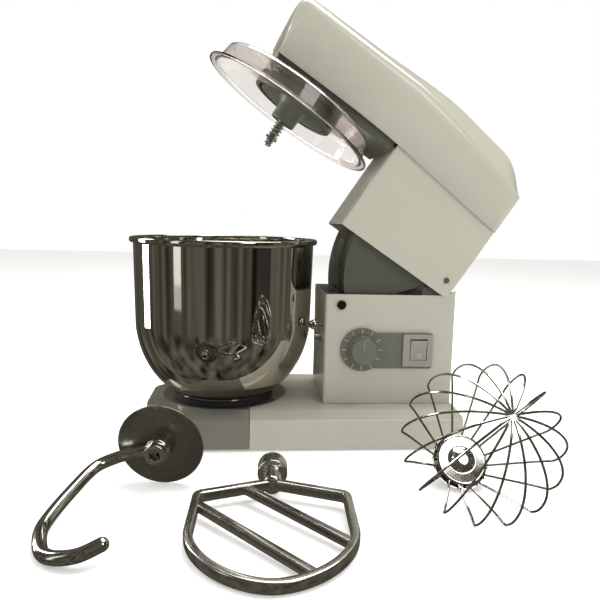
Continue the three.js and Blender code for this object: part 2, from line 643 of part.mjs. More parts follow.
function makeControls() {
  const back = -COLUMN_HALF_WIDTH - GAP;
  const face = back - PANEL_THICKNESS;
  const inside = -COLUMN_HALF_WIDTH + SHEET + GAP;
  const panel = join(
    rod('y', DIAL_RADIUS, face, back, DIAL_X, DIAL_Z, 48),
    sidePlate(rectangle(DIAL_X, PANEL_Z - PANEL_HALF_HEIGHT, PANEL_END, PANEL_Z + PANEL_HALF_HEIGHT, 4), face, back),
  );
  const hole = rod('y', POT_SHAFT_RADIUS + 1 + GAP, face - 1, back + 1, DIAL_X, DIAL_Z, 16);
  add(mixer, 'control_bezel', cut(panel, hole, switchBlock(face - 1, back + 1, GAP)), 'grey');

  add(mixer, 'potentiometer', join(
    rod('y', POT_RADIUS, inside, inside + 16, DIAL_X, DIAL_Z),
    rod('y', POT_SHAFT_RADIUS + 1, face + 0.5, inside + 1, DIAL_X, DIAL_Z, 16),
    rod('y', POT_SHAFT_RADIUS, face - KNOB_LENGTH + 5, inside + 1, DIAL_X, DIAL_Z, 16),
  ), 'zinc');
  const knobBack = face - GAP;
  const knobFace = knobBack - KNOB_LENGTH;
  const fluted = circle(DIAL_X, DIAL_Z, KNOB_RADIUS, 2 * KNOB_FLUTES).map((p, i) => (
    i % 2 ? p : p.clone().sub(point(DIAL_X, DIAL_Z)).multiplyScalar(0.95).add(point(DIAL_X, DIAL_Z))));
  const knob = cut(
    join(
      rod('y', KNOB_RADIUS + 2, knobBack - 3, knobBack, DIAL_X, DIAL_Z, 40),
      sidePlate(fluted, knobFace + 1, knobBack - 2),
      rod('y', KNOB_RADIUS - 2, knobFace, knobFace + 2, DIAL_X, DIAL_Z, 32),
    ),
    rod('y', POT_SHAFT_RADIUS + GAP, knobFace + 4, knobBack + 1, DIAL_X, DIAL_Z, 16),
    block([DIAL_X - 1, knobFace - 1, DIAL_Z + 4], [DIAL_X + 1, knobFace + 0.8, DIAL_Z + KNOB_RADIUS]),
  );
  add(mixer, 'speed_knob', knob, 'grey');

  const rim = 7;
  const pocketPlay = 2.2;
  const frameFace = face - 2.3;
  const frame = cut(
    join(
      switchBlock(face - 1, inside + SWITCH_DEPTH, 0),
      sidePlate(rectangle(
        SWITCH_X - SWITCH_HALF_LENGTH - rim, SWITCH_Z - SWITCH_HALF_HEIGHT - rim + 1,
        SWITCH_X + SWITCH_HALF_LENGTH + rim - 2, SWITCH_Z + SWITCH_HALF_HEIGHT + rim - 3, 2,
      ), frameFace, face - GAP),
    ),
    switchBlock(frameFace - 1, inside + 8, -pocketPlay),
  );
  add(mixer, 'switch_frame', frame, 'darkGrey');

  const pivotY = face + 3;
  const rocker = new THREE.Group();
  mixer.add(rocker);
  rocker.position.set(SWITCH_X, pivotY, SWITCH_Z);
  rocker.rotation.x = rad(SWITCH_THROW / 2);
  const halfHeight = SWITCH_HALF_HEIGHT - pocketPlay - 0.8;
  const halfLength = SWITCH_HALF_LENGTH - pocketPlay - 0.6;
  const lift = frameFace - pivotY;
  const outline = [
    point(4, -4), point(4, 4), point(0, halfHeight - 1), point(lift - 0.7, halfHeight),
    point(lift + 0.6, 0), point(lift - 0.7, -halfHeight), point(0, 1 - halfHeight),
  ];
  add(rocker, 'switch_rocker', endPlate(outline, -halfLength, halfLength), 'darkGrey');
}

// ---------------------------------------------------------------- head lock
function makeLock() {
  const [y, z] = [LOCK_Y, LOCK_Z];
  const front = COLUMN_FRONT - 0.4;
  const tip = COLUMN_FRONT + LOCK_REACH;
  const bushEnd = front + LOCK_BUSH_LENGTH;
  const shoulder = bushEnd - 8 - LOCK_TRAVEL;
  add(mixer, 'lock_bush', cut(
    join(
      rod('x', LOCK_RADIUS + 3, front, bushEnd, y, z),
      rod('x', LOCK_RADIUS + 6, COLUMN_FRONT + SHEET + GAP, COLUMN_FRONT + 4, y, z, 6),
    ),
    rod('x', LOCK_STEM_RADIUS + GAP, front - 1, front + 5, y, z, 12),
    rod('x', LOCK_RADIUS + RUNNING_GAP, front + 2.5, bushEnd + 1, y, z),
  ), 'brass');
  const ballX = front - GAP - LOCK_TRAVEL - LOCK_BALL_RADIUS;
  add(mixer, 'lock_plunger', join(
    rod('x', LOCK_STEM_RADIUS, ballX - 4, shoulder + 1, y, z, 12),
    rod('x', LOCK_RADIUS, shoulder, tip, y, z),
  ), 'steel');
  const ball = solid(new THREE.SphereGeometry(LOCK_BALL_RADIUS, 18, 12).translate(ballX, y, z));
  add(mixer, 'lock_ball', cut(ball, rod('x', LOCK_STEM_RADIUS + GAP, ballX - 5, ballX + 10, y, z, 12)), 'steel');
  add(mixer, 'lock_spring', coil('x', LOCK_STEM_RADIUS + 0.9, 0.4, 6, front + 3.2, shoulder - 0.7, y, z), 'steel');
  add(mixer, 'front_screw', join(
    rod('x', 5, COLUMN_FRONT - 7.4, COLUMN_FRONT - GAP, SECTOR_Y, FRONT_SCREW_Z, 6),
    rod('x', 2.5, COLUMN_FRONT - 2, COLUMN_FRONT + 8, SECTOR_Y, FRONT_SCREW_Z, 12),
  ), 'zinc');
}

// Room for the plunger in the drum, with the head turned up by an angle.
function lockHole(turn) {
  const radius = LOCK_RADIUS + RUNNING_GAP;
  const geometry = new THREE.CylinderGeometry(radius, radius, 50, 16);
  geometry.rotateZ(Math.PI / 2).translate(COLUMN_FRONT + LOCK_REACH - HINGE_X, LOCK_Y, LOCK_Z - HINGE_Z);
  return solid(geometry.rotateY(-rad(turn)).translate(HINGE_X, 0, HINGE_Z));
}

// ---------------------------------------------------------------- head: leg, drum and sector plate
function makeLeg() {
  const half = LEG_HALF_WIDTH;
  const inner = half - SHEET;
  const [front, rear] = [LEG_FRONT, LEG_REAR];
  const profile = rounded([
    [front, LEG_BOTTOM, 3], [rear, LEG_BOTTOM, 10], [rear, LEG_TOP, 0], [front, LEG_TOP, 0],
  ]);
  const walls = common(
    plate(rectangle(front, -half, rear, half, FOLD), LEG_BOTTOM - 1, LEG_TOP + 1),
    sidePlate(profile, -half - 1, half + 1),
  );
  const shellInside = SHELL_HALF_WIDTH - SHELL_WALL - GAP;
  const flangeFront = front + 30;
  const flanges = SIDES.map(([, way]) => {
    const [low, high] = [way * (inner + 0.2), way * shellInside].sort((a, b) => a - b);
    return block([flangeFront, low, LEG_TOP - SHEET], [rear - 12, high, LEG_TOP]);
  });
  const casing = cut(
    join(walls, ...flanges),
    block([front + SHEET, -inner, LEG_BOTTOM - 5], [rear - SHEET, inner, LEG_TOP + 5]),
    block([rear - 5, -inner, LEG_BOTTOM - 5], [rear + 5, inner, LEG_BOTTOM + LEG_REAR_OPENING]),
    block([front - 5, -inner, CHASSIS_BOTTOM - GAP], [front + 5, inner, LEG_TOP + 5]),
    rod('y', HINGE_PIN_RADIUS + GAP, -half - 5, half + 5, ...PIVOT),
  );
  add(head, 'leg_casing', casing, 'white');

  const drumHalf = DRUM_HALF_WIDTH;
  const solidDrum = sidePlate(hingeArc(DRUM_HUB, DRUM_RADIUS, DRUM_FIRST, DRUM_LAST), -drumHalf, drumHalf);
  const drumRoom = sidePlate(
    hingeArc(DRUM_HUB - 4, DRUM_RADIUS - DRUM_WALL, DRUM_FIRST + 1.5, DRUM_LAST + 4),
    DRUM_WALL - drumHalf, drumHalf - DRUM_WALL,
  );
  const tabs = common(
    sidePlate(hingeArc(70, 108, DRUM_FIRST, DRUM_FIRST + 1.2), -inner + GAP, inner - GAP),
    block([0, -inner, LEG_BOTTOM], [HINGE_X, inner, HINGE_Z]),
  );
  const slitSide = SECTOR_THICKNESS / 2 + GAP;
  const slit = sidePlate(
    hingeArc(DRUM_RADIUS - 10, DRUM_RADIUS + 10, DRUM_FIRST + 3.5, DRUM_LAST - 4),
    SECTOR_Y - slitSide, SECTOR_Y + slitSide,
  );
  const tongueHalf = LOCK_RADIUS + 6;
  const tongue = sidePlate(
    hingeArc(DRUM_RADIUS - DRUM_WALL, DRUM_RADIUS, DRUM_LAST - 1, LOCK_ANGLE + TILT + 4),
    LOCK_Y - tongueHalf, LOCK_Y + tongueHalf,
  );
  const drum = cut(join(cut(join(solidDrum, tabs), drumRoom, slit), tongue), lockHole(0), lockHole(TILT));
  add(head, 'sector_drum', drum, 'grey');

  const slotHalf = LIMIT_PIN_RADIUS + RUNNING_GAP;
  const slotEnds = [LIMIT_ANGLE, LIMIT_ANGLE + TILT];
  const thick = [SECTOR_Y - SECTOR_THICKNESS / 2, SECTOR_Y + SECTOR_THICKNESS / 2];
  const slotEdges = hingeArc(SECTOR_SLOT_RADIUS - slotHalf, SECTOR_SLOT_RADIUS + slotHalf, ...slotEnds);
  const wide = [thick[0] - 1, thick[1] + 1];
  const slotRounds = slotEnds.map((angle) => {
    const end = arc(...PIVOT, SECTOR_SLOT_RADIUS, 180 + angle, 180 + angle, 1)[0];
    return rod('y', slotHalf, ...wide, end.x, end.y, 24);
  });
  const blade = cut(
    join(
      sidePlate(hingeArc(DRUM_RADIUS + GAP, SECTOR_RADIUS, DRUM_FIRST, DRUM_LAST + 1.5), ...thick),
      sidePlate(hingeArc(DRUM_RADIUS - 30, DRUM_RADIUS + 2, DRUM_FIRST + 4, DRUM_LAST - 4.5), ...thick),
    ),
    sidePlate(slotEdges, ...wide), ...slotRounds,
  );
  add(head, 'sector_plate', blade, 'zinc');
}

// ---------------------------------------------------------------- head: chassis, pan and shell
function makeHeadFrame() {
  const panInside = PAN_HALF_WIDTH - PAN_WALL - GAP;
  const front = PAN_FRONT + PAN_WALL + GAP;
  const legInside = LEG_HALF_WIDTH - SHEET - GAP;
  const step = LEG_FRONT + SHEET + GAP;
  const rear = LEG_REAR - SHEET - GAP;
  const chassisOutline = rounded([
    [front, -panInside, PAN_CORNER - 2], [step, -panInside], [step, -legInside], [rear, -legInside],
    [rear, legInside], [step, legInside], [step, panInside], [front, panInside, PAN_CORNER - 2],
  ]);
  const top = CHASSIS_BOTTOM + CHASSIS_THICKNESS;
  const bosses = [[0, 13, MAIN_SHAFT_RADIUS], [LAY_X, 12, LAY_SHAFT_RADIUS]];
  const chassis = cut(
    join(plate(chassisOutline, CHASSIS_BOTTOM, top), ...bosses.map(([x, radius]) => (
      rod('z', radius, CHASSIS_BOTTOM, GEAR_BOTTOM - 1.5, x, 0, 32)))),
    ...bosses.map(([x, , shaft]) => rod('z', shaft + GAP, CHASSIS_BOTTOM - 2, GEAR_BOTTOM, x, 0)),
    rod('z', 2 * MOTOR_SHAFT_RADIUS, CHASSIS_BOTTOM - 2, top + 2, MOTOR_X, 0),
  );
  add(head, 'head_chassis', chassis, 'zinc');

  const outside = rounded([
    [PAN_FRONT, -PAN_HALF_WIDTH, PAN_CORNER], [PAN_REAR, -PAN_HALF_WIDTH, 3],
    [PAN_REAR, PAN_HALF_WIDTH, 3], [PAN_FRONT, PAN_HALF_WIDTH, PAN_CORNER],
  ]);
  const innerY = PAN_HALF_WIDTH - PAN_WALL;
  const inside = rounded([
    [PAN_FRONT + PAN_WALL, -innerY, PAN_CORNER - PAN_WALL], [PAN_REAR - PAN_WALL, -innerY],
    [PAN_REAR - PAN_WALL, innerY], [PAN_FRONT + PAN_WALL, innerY, PAN_CORNER - PAN_WALL],
  ]);
  const screwHoles = boltPlaces().map(([, x, y]) => (
    rod('z', GUARD_BOLT_RADIUS + GAP, PAN_BOTTOM - 2, PAN_BOTTOM + 5, x, y, 12)));
  const slots = SIDES.map(([, way]) => (
    block([PAN_REAR - 20, way * 57 - 2, PAN_BOTTOM - 2], [PAN_REAR - 7, way * 57 + 2, PAN_BOTTOM + 5])));
  const pan = cut(
    plate(outside, PAN_BOTTOM, PAN_TOP), plate(inside, PAN_BOTTOM + PAN_WALL, PAN_TOP + 5),
    block([PAN_REAR - 5, -innerY, CHASSIS_BOTTOM - GAP], [PAN_REAR + 5, innerY, PAN_TOP + 5]),
    rod('z', MAIN_SHAFT_RADIUS + RUNNING_GAP, PAN_BOTTOM - 2, PAN_BOTTOM + 5),
    ...screwHoles, ...slots,
  );
  add(head, 'underpan', pan, 'grey');
  add(head, 'head_shell', cut(shellBody(0), shellBody(SHELL_WALL)), 'white');
}

// The head shell's outside, or with a wall given, the room inside it, open downward.
function shellBody(wall) {
  const half = SHELL_HALF_WIDTH - wall;
  const [front, rear] = [SHELL_FRONT + wall, SHELL_REAR - wall];
  const deep = wall > 0 ? 30 : 0;
  const crownEnd = SHELL_CROWN - 35;
  const profile = rounded([
    [front + 13, SHELL_BOTTOM - deep, deep ? 0 : 3], [front + 5, SHELL_BOTTOM + 4 - deep, 0],
    [front, SHELL_BOTTOM + 11, 6], [front + 1.5, SHELL_FRONT_CROWN - 15, 10],
    [front + 7, SHELL_FRONT_CROWN - wall, 8], [130, SHELL_CROWN + 3 - wall, 400],
    [HINGE_X - 18, SHELL_CROWN - 11 - wall, 60], [HINGE_X + 9, crownEnd - wall, 24],
    [rear, SHELL_REAR_EDGE - wall, 10], [rear, SHELL_REAR_BOTTOM - deep, 0],
    [rear - 8, SHELL_REAR_BOTTOM - deep, 0], [COLUMN_FRONT, SHELL_BOTTOM - 2.5 - deep, 300],
    [COLUMN_FRONT - 60, SHELL_BOTTOM - deep, 0],
  ]);
  const plan = rounded([
    [rear, -half, 9], [rear, half, 9], [front + 10, half, 14], [front, 0, 200], [front + 10, -half, 14],
  ]);
  const side = [
    [SHELL_FRONT - 20, SHELL_EDGE, SHELL_FRONT_CROWN - 1], [60, SHELL_EDGE, SHELL_CROWN - 4],
    [120, SHELL_EDGE - 0.5, SHELL_CROWN - 0.5], [150, SHELL_EDGE - 4, SHELL_CROWN],
    [174, SHELL_EDGE - 8.5, SHELL_CROWN - 1.5], [217, SHELL_EDGE - 17, SHELL_CROWN - 7],
    [253, SHELL_EDGE - 26, SHELL_CROWN - 12], [290, SHELL_REAR_EDGE + 1, SHELL_CROWN - 22],
    [SHELL_REAR + 20, SHELL_REAR_EDGE - 8, SHELL_CROWN - 42],
  ];
  const sections = side.map(([x, edge, crown]) => {
    const at = (y, z) => new THREE.Vector3(x, y, z);
    return [
      at(-half, SHELL_REAR_BOTTOM - 40), at(half, SHELL_REAR_BOTTOM - 40), at(half, edge - wall / 2),
      at(SHELL_RIDGE, crown - wall), at(0, crown + 2 - wall), at(-SHELL_RIDGE, crown - wall),
      at(-half, edge - wall / 2),
    ];
  });
  return common(lofted(sections), sidePlate(profile, -half - 5, half + 5), plate(plan, 240, 420));
}

// ---------------------------------------------------------------- head: drive
function makeDrive() {
  const beltZ = [BELT_BOTTOM, BELT_BOTTOM + BELT_WIDTH];
  const pulleyZ = [beltZ[0] - 2, beltZ[1] + 2];
  const shaftTop = pulleyZ[1] + 3;
  const motorTop = CHASSIS_BOTTOM - GAP;
  const motorBottom = motorTop - 3 - MOTOR_HEIGHT;
  add(head, 'motor_body', cut(
    join(
      rod('z', MOTOR_RADIUS, motorBottom, motorTop - 2, MOTOR_X, 0, 32),
      rod('z', MOTOR_RADIUS + 5, motorTop - 4, motorTop, MOTOR_X, 0, 32),
      rod('z', MOTOR_RADIUS - 18, motorBottom - 8, motorBottom + 1, MOTOR_X, 0, 24),
    ),
    rod('z', MOTOR_SHAFT_RADIUS + RUNNING_GAP, motorTop - 12, motorTop + 1, MOTOR_X, 0),
  ), 'zinc');
  add(head, 'motor_shaft', rod('z', MOTOR_SHAFT_RADIUS, motorTop - 11, shaftTop, MOTOR_X, 0, 16), 'steel');
  add(head, 'motor_pulley', pulley(MOTOR_PULLEY_RADIUS, MOTOR_SHAFT_RADIUS, MOTOR_X, beltZ, pulleyZ), 'aluminium');
  add(head, 'lay_pulley', pulley(LAY_PULLEY_RADIUS, LAY_SHAFT_RADIUS, LAY_X, beltZ, pulleyZ), 'aluminium');
  const pinionTeeth = shifted(gearOutline(LAY_TEETH, 180 + 180 / LAY_TEETH), LAY_X, 0);
  add(head, 'lay_shaft', join(
    rod('z', LAY_SHAFT_RADIUS, PAN_BOTTOM + PAN_WALL + GAP, shaftTop, LAY_X, 0),
    plate(pinionTeeth, GEAR_BOTTOM, GEAR_BOTTOM + GEAR_WIDTH),
  ), 'steel');
  add(head, 'drive_belt', cut(
    plate(beltOutline(GAP + BELT_THICKNESS), ...beltZ),
    plate(beltOutline(GAP), beltZ[0] - 1, beltZ[1] + 1),
  ), 'rubber');

  add(head, 'main_gear', cut(
    plate(gearOutline(MAIN_TEETH, 0), GEAR_BOTTOM, GEAR_BOTTOM + GEAR_WIDTH),
    ring('z', (GEAR_MODULE * MAIN_TEETH) / 2 - 6, 14, GEAR_BOTTOM + 5, GEAR_BOTTOM + GEAR_WIDTH + 2),
    rod('z', MAIN_SHAFT_RADIUS + GAP, GEAR_BOTTOM - 1, GEAR_BOTTOM + GEAR_WIDTH + 1),
  ), 'steel');
  const shaftBottom = CARRIER_BOTTOM + 0.5;
  add(head, 'main_shaft', rod('z', MAIN_SHAFT_RADIUS, shaftBottom, GEAR_BOTTOM + GEAR_WIDTH + 4), 'steel');

  const carrierTop = CARRIER_BOTTOM + CARRIER_THICKNESS;
  const housingTop = PAN_BOTTOM - GAP;
  add(head, 'gear_housing', turned([
    [MAIN_SHAFT_RADIUS + RUNNING_GAP, RING_TOP + 2 * GAP], [RING_OUTER + GAP, RING_TOP + 2 * GAP],
    [RING_OUTER + GAP, HOUSING_BOTTOM], [HOUSING_RADIUS - 2, HOUSING_BOTTOM],
    [HOUSING_RADIUS, HOUSING_BOTTOM + 2], [HOUSING_RADIUS, housingTop],
    [MAIN_SHAFT_RADIUS + RUNNING_GAP, housingTop],
  ]), 'grey');
  add(head, 'ring_gear', plate(
    circle(0, 0, RING_OUTER, 48), RING_BOTTOM, RING_TOP, [gearOutline(RING_TEETH, -90 + 180 / RING_TEETH, true)],
  ), 'steel');
  add(head, 'planet_carrier', cut(
    join(
      turned([
        [0, CARRIER_BOTTOM], [CARRIER_RADIUS - 2, CARRIER_BOTTOM], [CARRIER_RADIUS, CARRIER_BOTTOM + 2],
        [CARRIER_RADIUS, carrierTop], [0, carrierTop],
      ]),
      rod('z', BOSS_RADIUS, BOSS_BOTTOM + 2, CARRIER_BOTTOM + 1, 0, PLANET_Y, 32),
      rod('z', BOSS_RADIUS - 2, BOSS_BOTTOM, CARRIER_BOTTOM + 1, 0, PLANET_Y, 32),
    ),
    rod('z', TOOL_SHAFT_RADIUS + GAP, BOSS_BOTTOM - 1, carrierTop + 1, 0, PLANET_Y),
    rod('z', MAIN_SHAFT_RADIUS + GAP, CARRIER_BOTTOM - 1, carrierTop + 1),
  ), 'grey');

  const pinionTop = RING_TOP - 1;
  add(head, 'tool_shaft', cut(
    join(
      rod('z', TOOL_SHAFT_RADIUS, TOOL_SHAFT_TIP + 1.5, pinionTop, 0, PLANET_Y),
      rod('z', TOOL_SHAFT_RADIUS - 1.2, TOOL_SHAFT_TIP, TOOL_SHAFT_TIP + 2, 0, PLANET_Y),
    ),
    ring('z', TOOL_SHAFT_RADIUS + 1, TOOL_SHAFT_RADIUS - 0.8, TOOL_SHAFT_TIP + 4, TOOL_SHAFT_TIP + 6, 0, PLANET_Y),
    rod('x', DRIVE_PIN_RADIUS + GAP, -10, 10, PLANET_Y, DRIVE_PIN_Z, 16),
  ), 'steel');
  add(head, 'drive_pin', rod(
    'x', DRIVE_PIN_RADIUS, -DRIVE_PIN_LENGTH / 2, DRIVE_PIN_LENGTH / 2, PLANET_Y, DRIVE_PIN_Z, 16,
  ), 'steel');
  const springEnds = [DRIVE_PIN_Z + DRIVE_PIN_RADIUS + 1.2, BOSS_BOTTOM - 1.2];
  add(head, 'shaft_spring', coil('z', TOOL_SHAFT_RADIUS + 1.4, 0.8, 4, ...springEnds, 0, PLANET_Y), 'steel');
  add(head, 'planet_pinion', cut(
    plate(shifted(gearOutline(PLANET_TEETH, -90), 0, PLANET_Y), RING_BOTTOM, pinionTop),
    rod('z', TOOL_SHAFT_RADIUS + GAP, RING_BOTTOM - 1, RING_TOP, 0, PLANET_Y),
  ), 'steel');
}

function pulley(radius, shaft, x, beltZ, pulleyZ) {
  return cut(
    join(
      rod('z', radius, ...pulleyZ, x, 0, 32),
      ...[[pulleyZ[0], beltZ[0] - GAP], [beltZ[1] + GAP, pulleyZ[1]]].map(([low, high]) => (
        rod('z', radius + BELT_THICKNESS + 1, low, high, x, 0, 32))),
    ),
    rod('z', shaft + GAP, pulleyZ[0] - 1, pulleyZ[1] + 1, x, 0),
  );
}

// The belt's run round both pulleys, at a distance out from their faces.
function beltOutline(out) {
  const lean = THREE.MathUtils.radToDeg(
    Math.acos((LAY_PULLEY_RADIUS - MOTOR_PULLEY_RADIUS) / (MOTOR_X - LAY_X)),
  );
  return [
    ...arc(LAY_X, 0, LAY_PULLEY_RADIUS + out, lean, 360 - lean, 24),
    ...arc(MOTOR_X, 0, MOTOR_PULLEY_RADIUS + out, -lean, lean, 12),
  ];
}

// ---------------------------------------------------------------- splash guard
function boltPlaces() {
  return SIDES.map(([side, way]) => [side, -GUARD_BOLT_X, way * GUARD_BOLT_Y]);
}

function makeGuard() {
  const sheet = GUARD_SHEET;
  const [wall, top] = [GUARD_WALL_RADIUS, GUARD_TOP];
  const opening = HOUSING_RADIUS + RUNNING_GAP;
  const guard = turned([
    [opening, top - sheet], [wall - 5 - sheet, top - sheet], [wall - sheet - 1.5, top - sheet - 3],
    [wall - sheet, GUARD_FLANGE - sheet], [GUARD_RADIUS - sheet, GUARD_FLANGE - sheet],
    [GUARD_RADIUS - sheet, GUARD_LIP], [GUARD_RADIUS, GUARD_LIP], [GUARD_RADIUS, GUARD_FLANGE - 1],
    [GUARD_RADIUS - 1, GUARD_FLANGE], [wall + 1, GUARD_FLANGE], [wall - 1.5, top - 5],
    [wall - 5, top], [opening, top],
  ], 40);
  const holes = boltPlaces().map(([, x, y]) => (
    rod('z', GUARD_BOLT_RADIUS + GAP, top - 5, top + 5, x, y, 12)));
  add(head, 'splash_guard', cut(guard, ...holes), 'clear');
  for (const [side, x, y] of boltPlaces()) {
    const bolt = join(
      rod('z', GUARD_BOLT_RADIUS, top - sheet - 1, PAN_BOTTOM + PAN_WALL + 1, x, y, 12),
      rod('z', 2 * GUARD_BOLT_RADIUS, top - sheet - 3, top - sheet - GAP, x, y, 16),
    );
    add(head, `guard_bolt_${side}`, bolt, 'zinc');
  }
}

// ---------------------------------------------------------------- loose tools
// A group whose Z axis points along an azimuth (from -Y toward +X) and an elevation, twisted about Z.
function aimed({ x, y, z, azimuth, elevation, twist }) {
  const [outer, inner] = [new THREE.Group(), new THREE.Group()];
  outer.position.set(x, y, z);
  outer.rotation.set(rad(90 - elevation), 0, rad(azimuth), 'ZYX');
  inner.rotation.z = rad(twist);
  outer.add(inner);
  mixer.add(outer);
  return inner;
}

function makeHook() {
  const tool = aimed(HOOK_PLACE);
  const [reach, length] = [HOOK_REACH, HOOK_LENGTH];
  const path = [
    [0.05, 0.06], [0.06, 0.35], [0.1, 0.62], [0.19, 0.84], [0.43, 0.95], [0.64, 1], [0.77, 0.98],
    [0.91, 0.83], [0.975, 0.68], [1, 0.48], [0.99, 0.27], [0.93, 0.02],
  ].map(([along, out]) => new THREE.Vector3(reach * out, 0, length * along));
  const bore = rod('z', SOCKET_BORE, -30, 18, 0, 0);
  const collar = turned([
    [0, -26], [COLLAR_RADIUS - 1, -26], [COLLAR_RADIUS, -25], [COLLAR_RADIUS, 20],
    [COLLAR_RADIUS - 1.5, 21.5], [0, 21.5],
  ], 32);
  add(tool, 'hook_rod', cut(join(collar, bar(new THREE.CatmullRomCurve3(path), HOOK_ROD_RADIUS, 26, 10)), bore,
    block([-2.3, -COLLAR_RADIUS - 1, -27], [2.3, COLLAR_RADIUS + 1, -16])), 'steel');
  const disc = turned([
    [COLLAR_RADIUS + GAP, -HOOK_DISC_THICKNESS / 2], [HOOK_DISC_RADIUS - 1, -HOOK_DISC_THICKNESS / 2],
    [HOOK_DISC_RADIUS, 0], [HOOK_DISC_RADIUS - 1, HOOK_DISC_THICKNESS / 2],
    [COLLAR_RADIUS + GAP, HOOK_DISC_THICKNESS / 2],
  ]);
  add(tool, 'hook_disc', disc, 'steel');
}

// The frame's outline moved in: flat shoulders, straight sides and a full round bottom.
function beaterOutline(shrink) {
  const [half, length] = [BEATER_HALF_WIDTH - shrink, BEATER_LENGTH - shrink];
  const shoulder = BEATER_SHOULDER + 0.65 * shrink;
  const top = rounded([
    [-half, -BEATER_STRAIGHT, 0], [-half, -shoulder, 8], [0, -1.05 * shrink, 0],
    [half, -shoulder, 8], [half, -BEATER_STRAIGHT, 0],
  ], 6);
  const bottom = [];
  for (let i = 1; i < BEATER_STEPS; i += 1) {
    const angle = (Math.PI * i) / BEATER_STEPS;
    const across = Math.abs(Math.cos(angle)) ** BEATER_FULLNESS * Math.sign(Math.cos(angle));
    const down = (length - BEATER_STRAIGHT) * Math.sin(angle) ** BEATER_FULLNESS;
    bottom.push(point(half * across, -BEATER_STRAIGHT - down));
  }
  return [...top, ...bottom];
}

function strut(x0, y0, x1, y1, width, from, to) {
  const across = point(y0 - y1, x1 - x0).setLength(width / 2);
  return plate([
    point(x0, y0).add(across), point(x0, y0).sub(across), point(x1, y1).sub(across), point(x1, y1).add(across),
  ], from, to);
}

function makeBeater() {
  const tool = new THREE.Group();
  mixer.add(tool);
  tool.position.set(BEATER_PLACE.x, BEATER_PLACE.y, BEATER_PLACE.z);
  tool.rotation.set(rad(BEATER_PLACE.lean), 0, rad(BEATER_PLACE.azimuth), 'ZYX');
  const [low, high] = [-BEATER_THICKNESS / 2, BEATER_THICKNESS / 2];
  const frame = plate(beaterOutline(0), low, high, [beaterOutline(BEATER_BAR)]);
  const struts = common(
    join(
      strut(-45, 4, 78, -120, BEATER_BAR, low + 1, high - 1),
      strut(-87, -29, 46, -164, BEATER_BAR, low + 1, high - 1),
    ),
    plate(beaterOutline(1), low, high),
  );
  const boss = rod('y', 10, -10, 40, 0, 0, 24);
  const collar = rod('y', BEATER_COLLAR_RADIUS, 17, 38, 0, 0, 32);
  const bore = rod('y', SOCKET_BORE, 2, 50, 0, 0);
  const cross = block([-COLLAR_RADIUS - 4, 30, -2.3], [COLLAR_RADIUS + 4, 50, 2.3]);
  add(tool, 'flat_beater', cut(join(frame, struts, boss, collar), bore, cross), 'aluminium');
}

function makeWhisk() {
  const tool = aimed(WHISK_PLACE);
  const hub = WHISK_HUB_RADIUS;
  add(tool, 'whisk_hub', cut(
    turned([
      [0, -WHISK_STEM_LENGTH], [WHISK_STEM_RADIUS, -WHISK_STEM_LENGTH], [WHISK_STEM_RADIUS, -16],
      [hub - 3, -9], [hub, -2], [hub - 1.5, -2], [hub - 5, -8], [WHISK_STEM_RADIUS, -11.5],
      [WHISK_STEM_RADIUS - 1, 1], [0, 1],
    ]),
    rod('z', SOCKET_BORE, -WHISK_STEM_LENGTH - 1, -4),
    block([-WHISK_STEM_RADIUS - 1, -2.3, -WHISK_STEM_LENGTH - 1], [WHISK_STEM_RADIUS + 1, 2.3, -WHISK_STEM_LENGTH + 9]),
  ), 'steel');
  const lid = hub - 3.5;
  add(tool, 'whisk_cap', turned([
    [0, 1 + GAP], [WHISK_STEM_RADIUS, 1 + GAP], [lid - 2, 2.4], [lid, 3], [lid, 4], [lid - 2, 4.5], [14, 3.6],
    [11, 5], [9, 8], [6, 9], [0, 9],
  ]), 'aluminium');
  const out = WHISK_RADIUS - WIRE_RADIUS;
  const side = [[-8, 20], [1.5, hub - 1.5], [WHISK_SHOULDER - 16, out - 13.5], [WHISK_SHOULDER - 7, out - 5],
    [WHISK_SHOULDER - 1, out - 0.8]];
  const nose = WHISK_LENGTH - WHISK_SHOULDER - 5;
  for (let i = 0; i <= 5; i += 1) {
    const angle = rad(8 + (82 * i) / 5);
    side.push([WHISK_SHOULDER + 5 + nose * Math.sin(angle), out * Math.cos(angle)]);
  }
  const wires = [];
  for (let k = 0; k < WHISK_LOOPS; k += 1) {
    const turn = (Math.PI * k) / WHISK_LOOPS;
    const place = ([along, radius], way) => new THREE.Vector3(
      way * radius * Math.cos(turn), way * radius * Math.sin(turn), along);
    const back = side.slice(0, -1).reverse();
    const loop = [...side.map((p) => place(p, 1)), ...back.map((p) => place(p, -1))];
    wires.push(bar(new THREE.CatmullRomCurve3(loop), WIRE_RADIUS, 25, 5));
  }
  add(tool, 'whisk_wires', join(...wires), 'steel');
}

makeBase();
makeBowl();
makeColumn();
makeControls();
makeLock();
makeLeg();
makeHeadFrame();
makeDrive();
makeGuard();
makeHook();
makeBeater();
makeWhisk();

export default mixer;
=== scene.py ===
# %% [markdown]
# # A tilt-head stand mixer, its bowl and its three tools
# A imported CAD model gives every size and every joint. This lesson gives the mixer its looks: smooth
# steel, glossy paint, a clear guard and soft light. The model is loaded first, because each new piece
# takes its place and its size from it, and rides on one of its bodies.

# %% Load the frame
import json
import math
import bmesh
import bpy
import numpy as np
from mathutils import Matrix, Vector


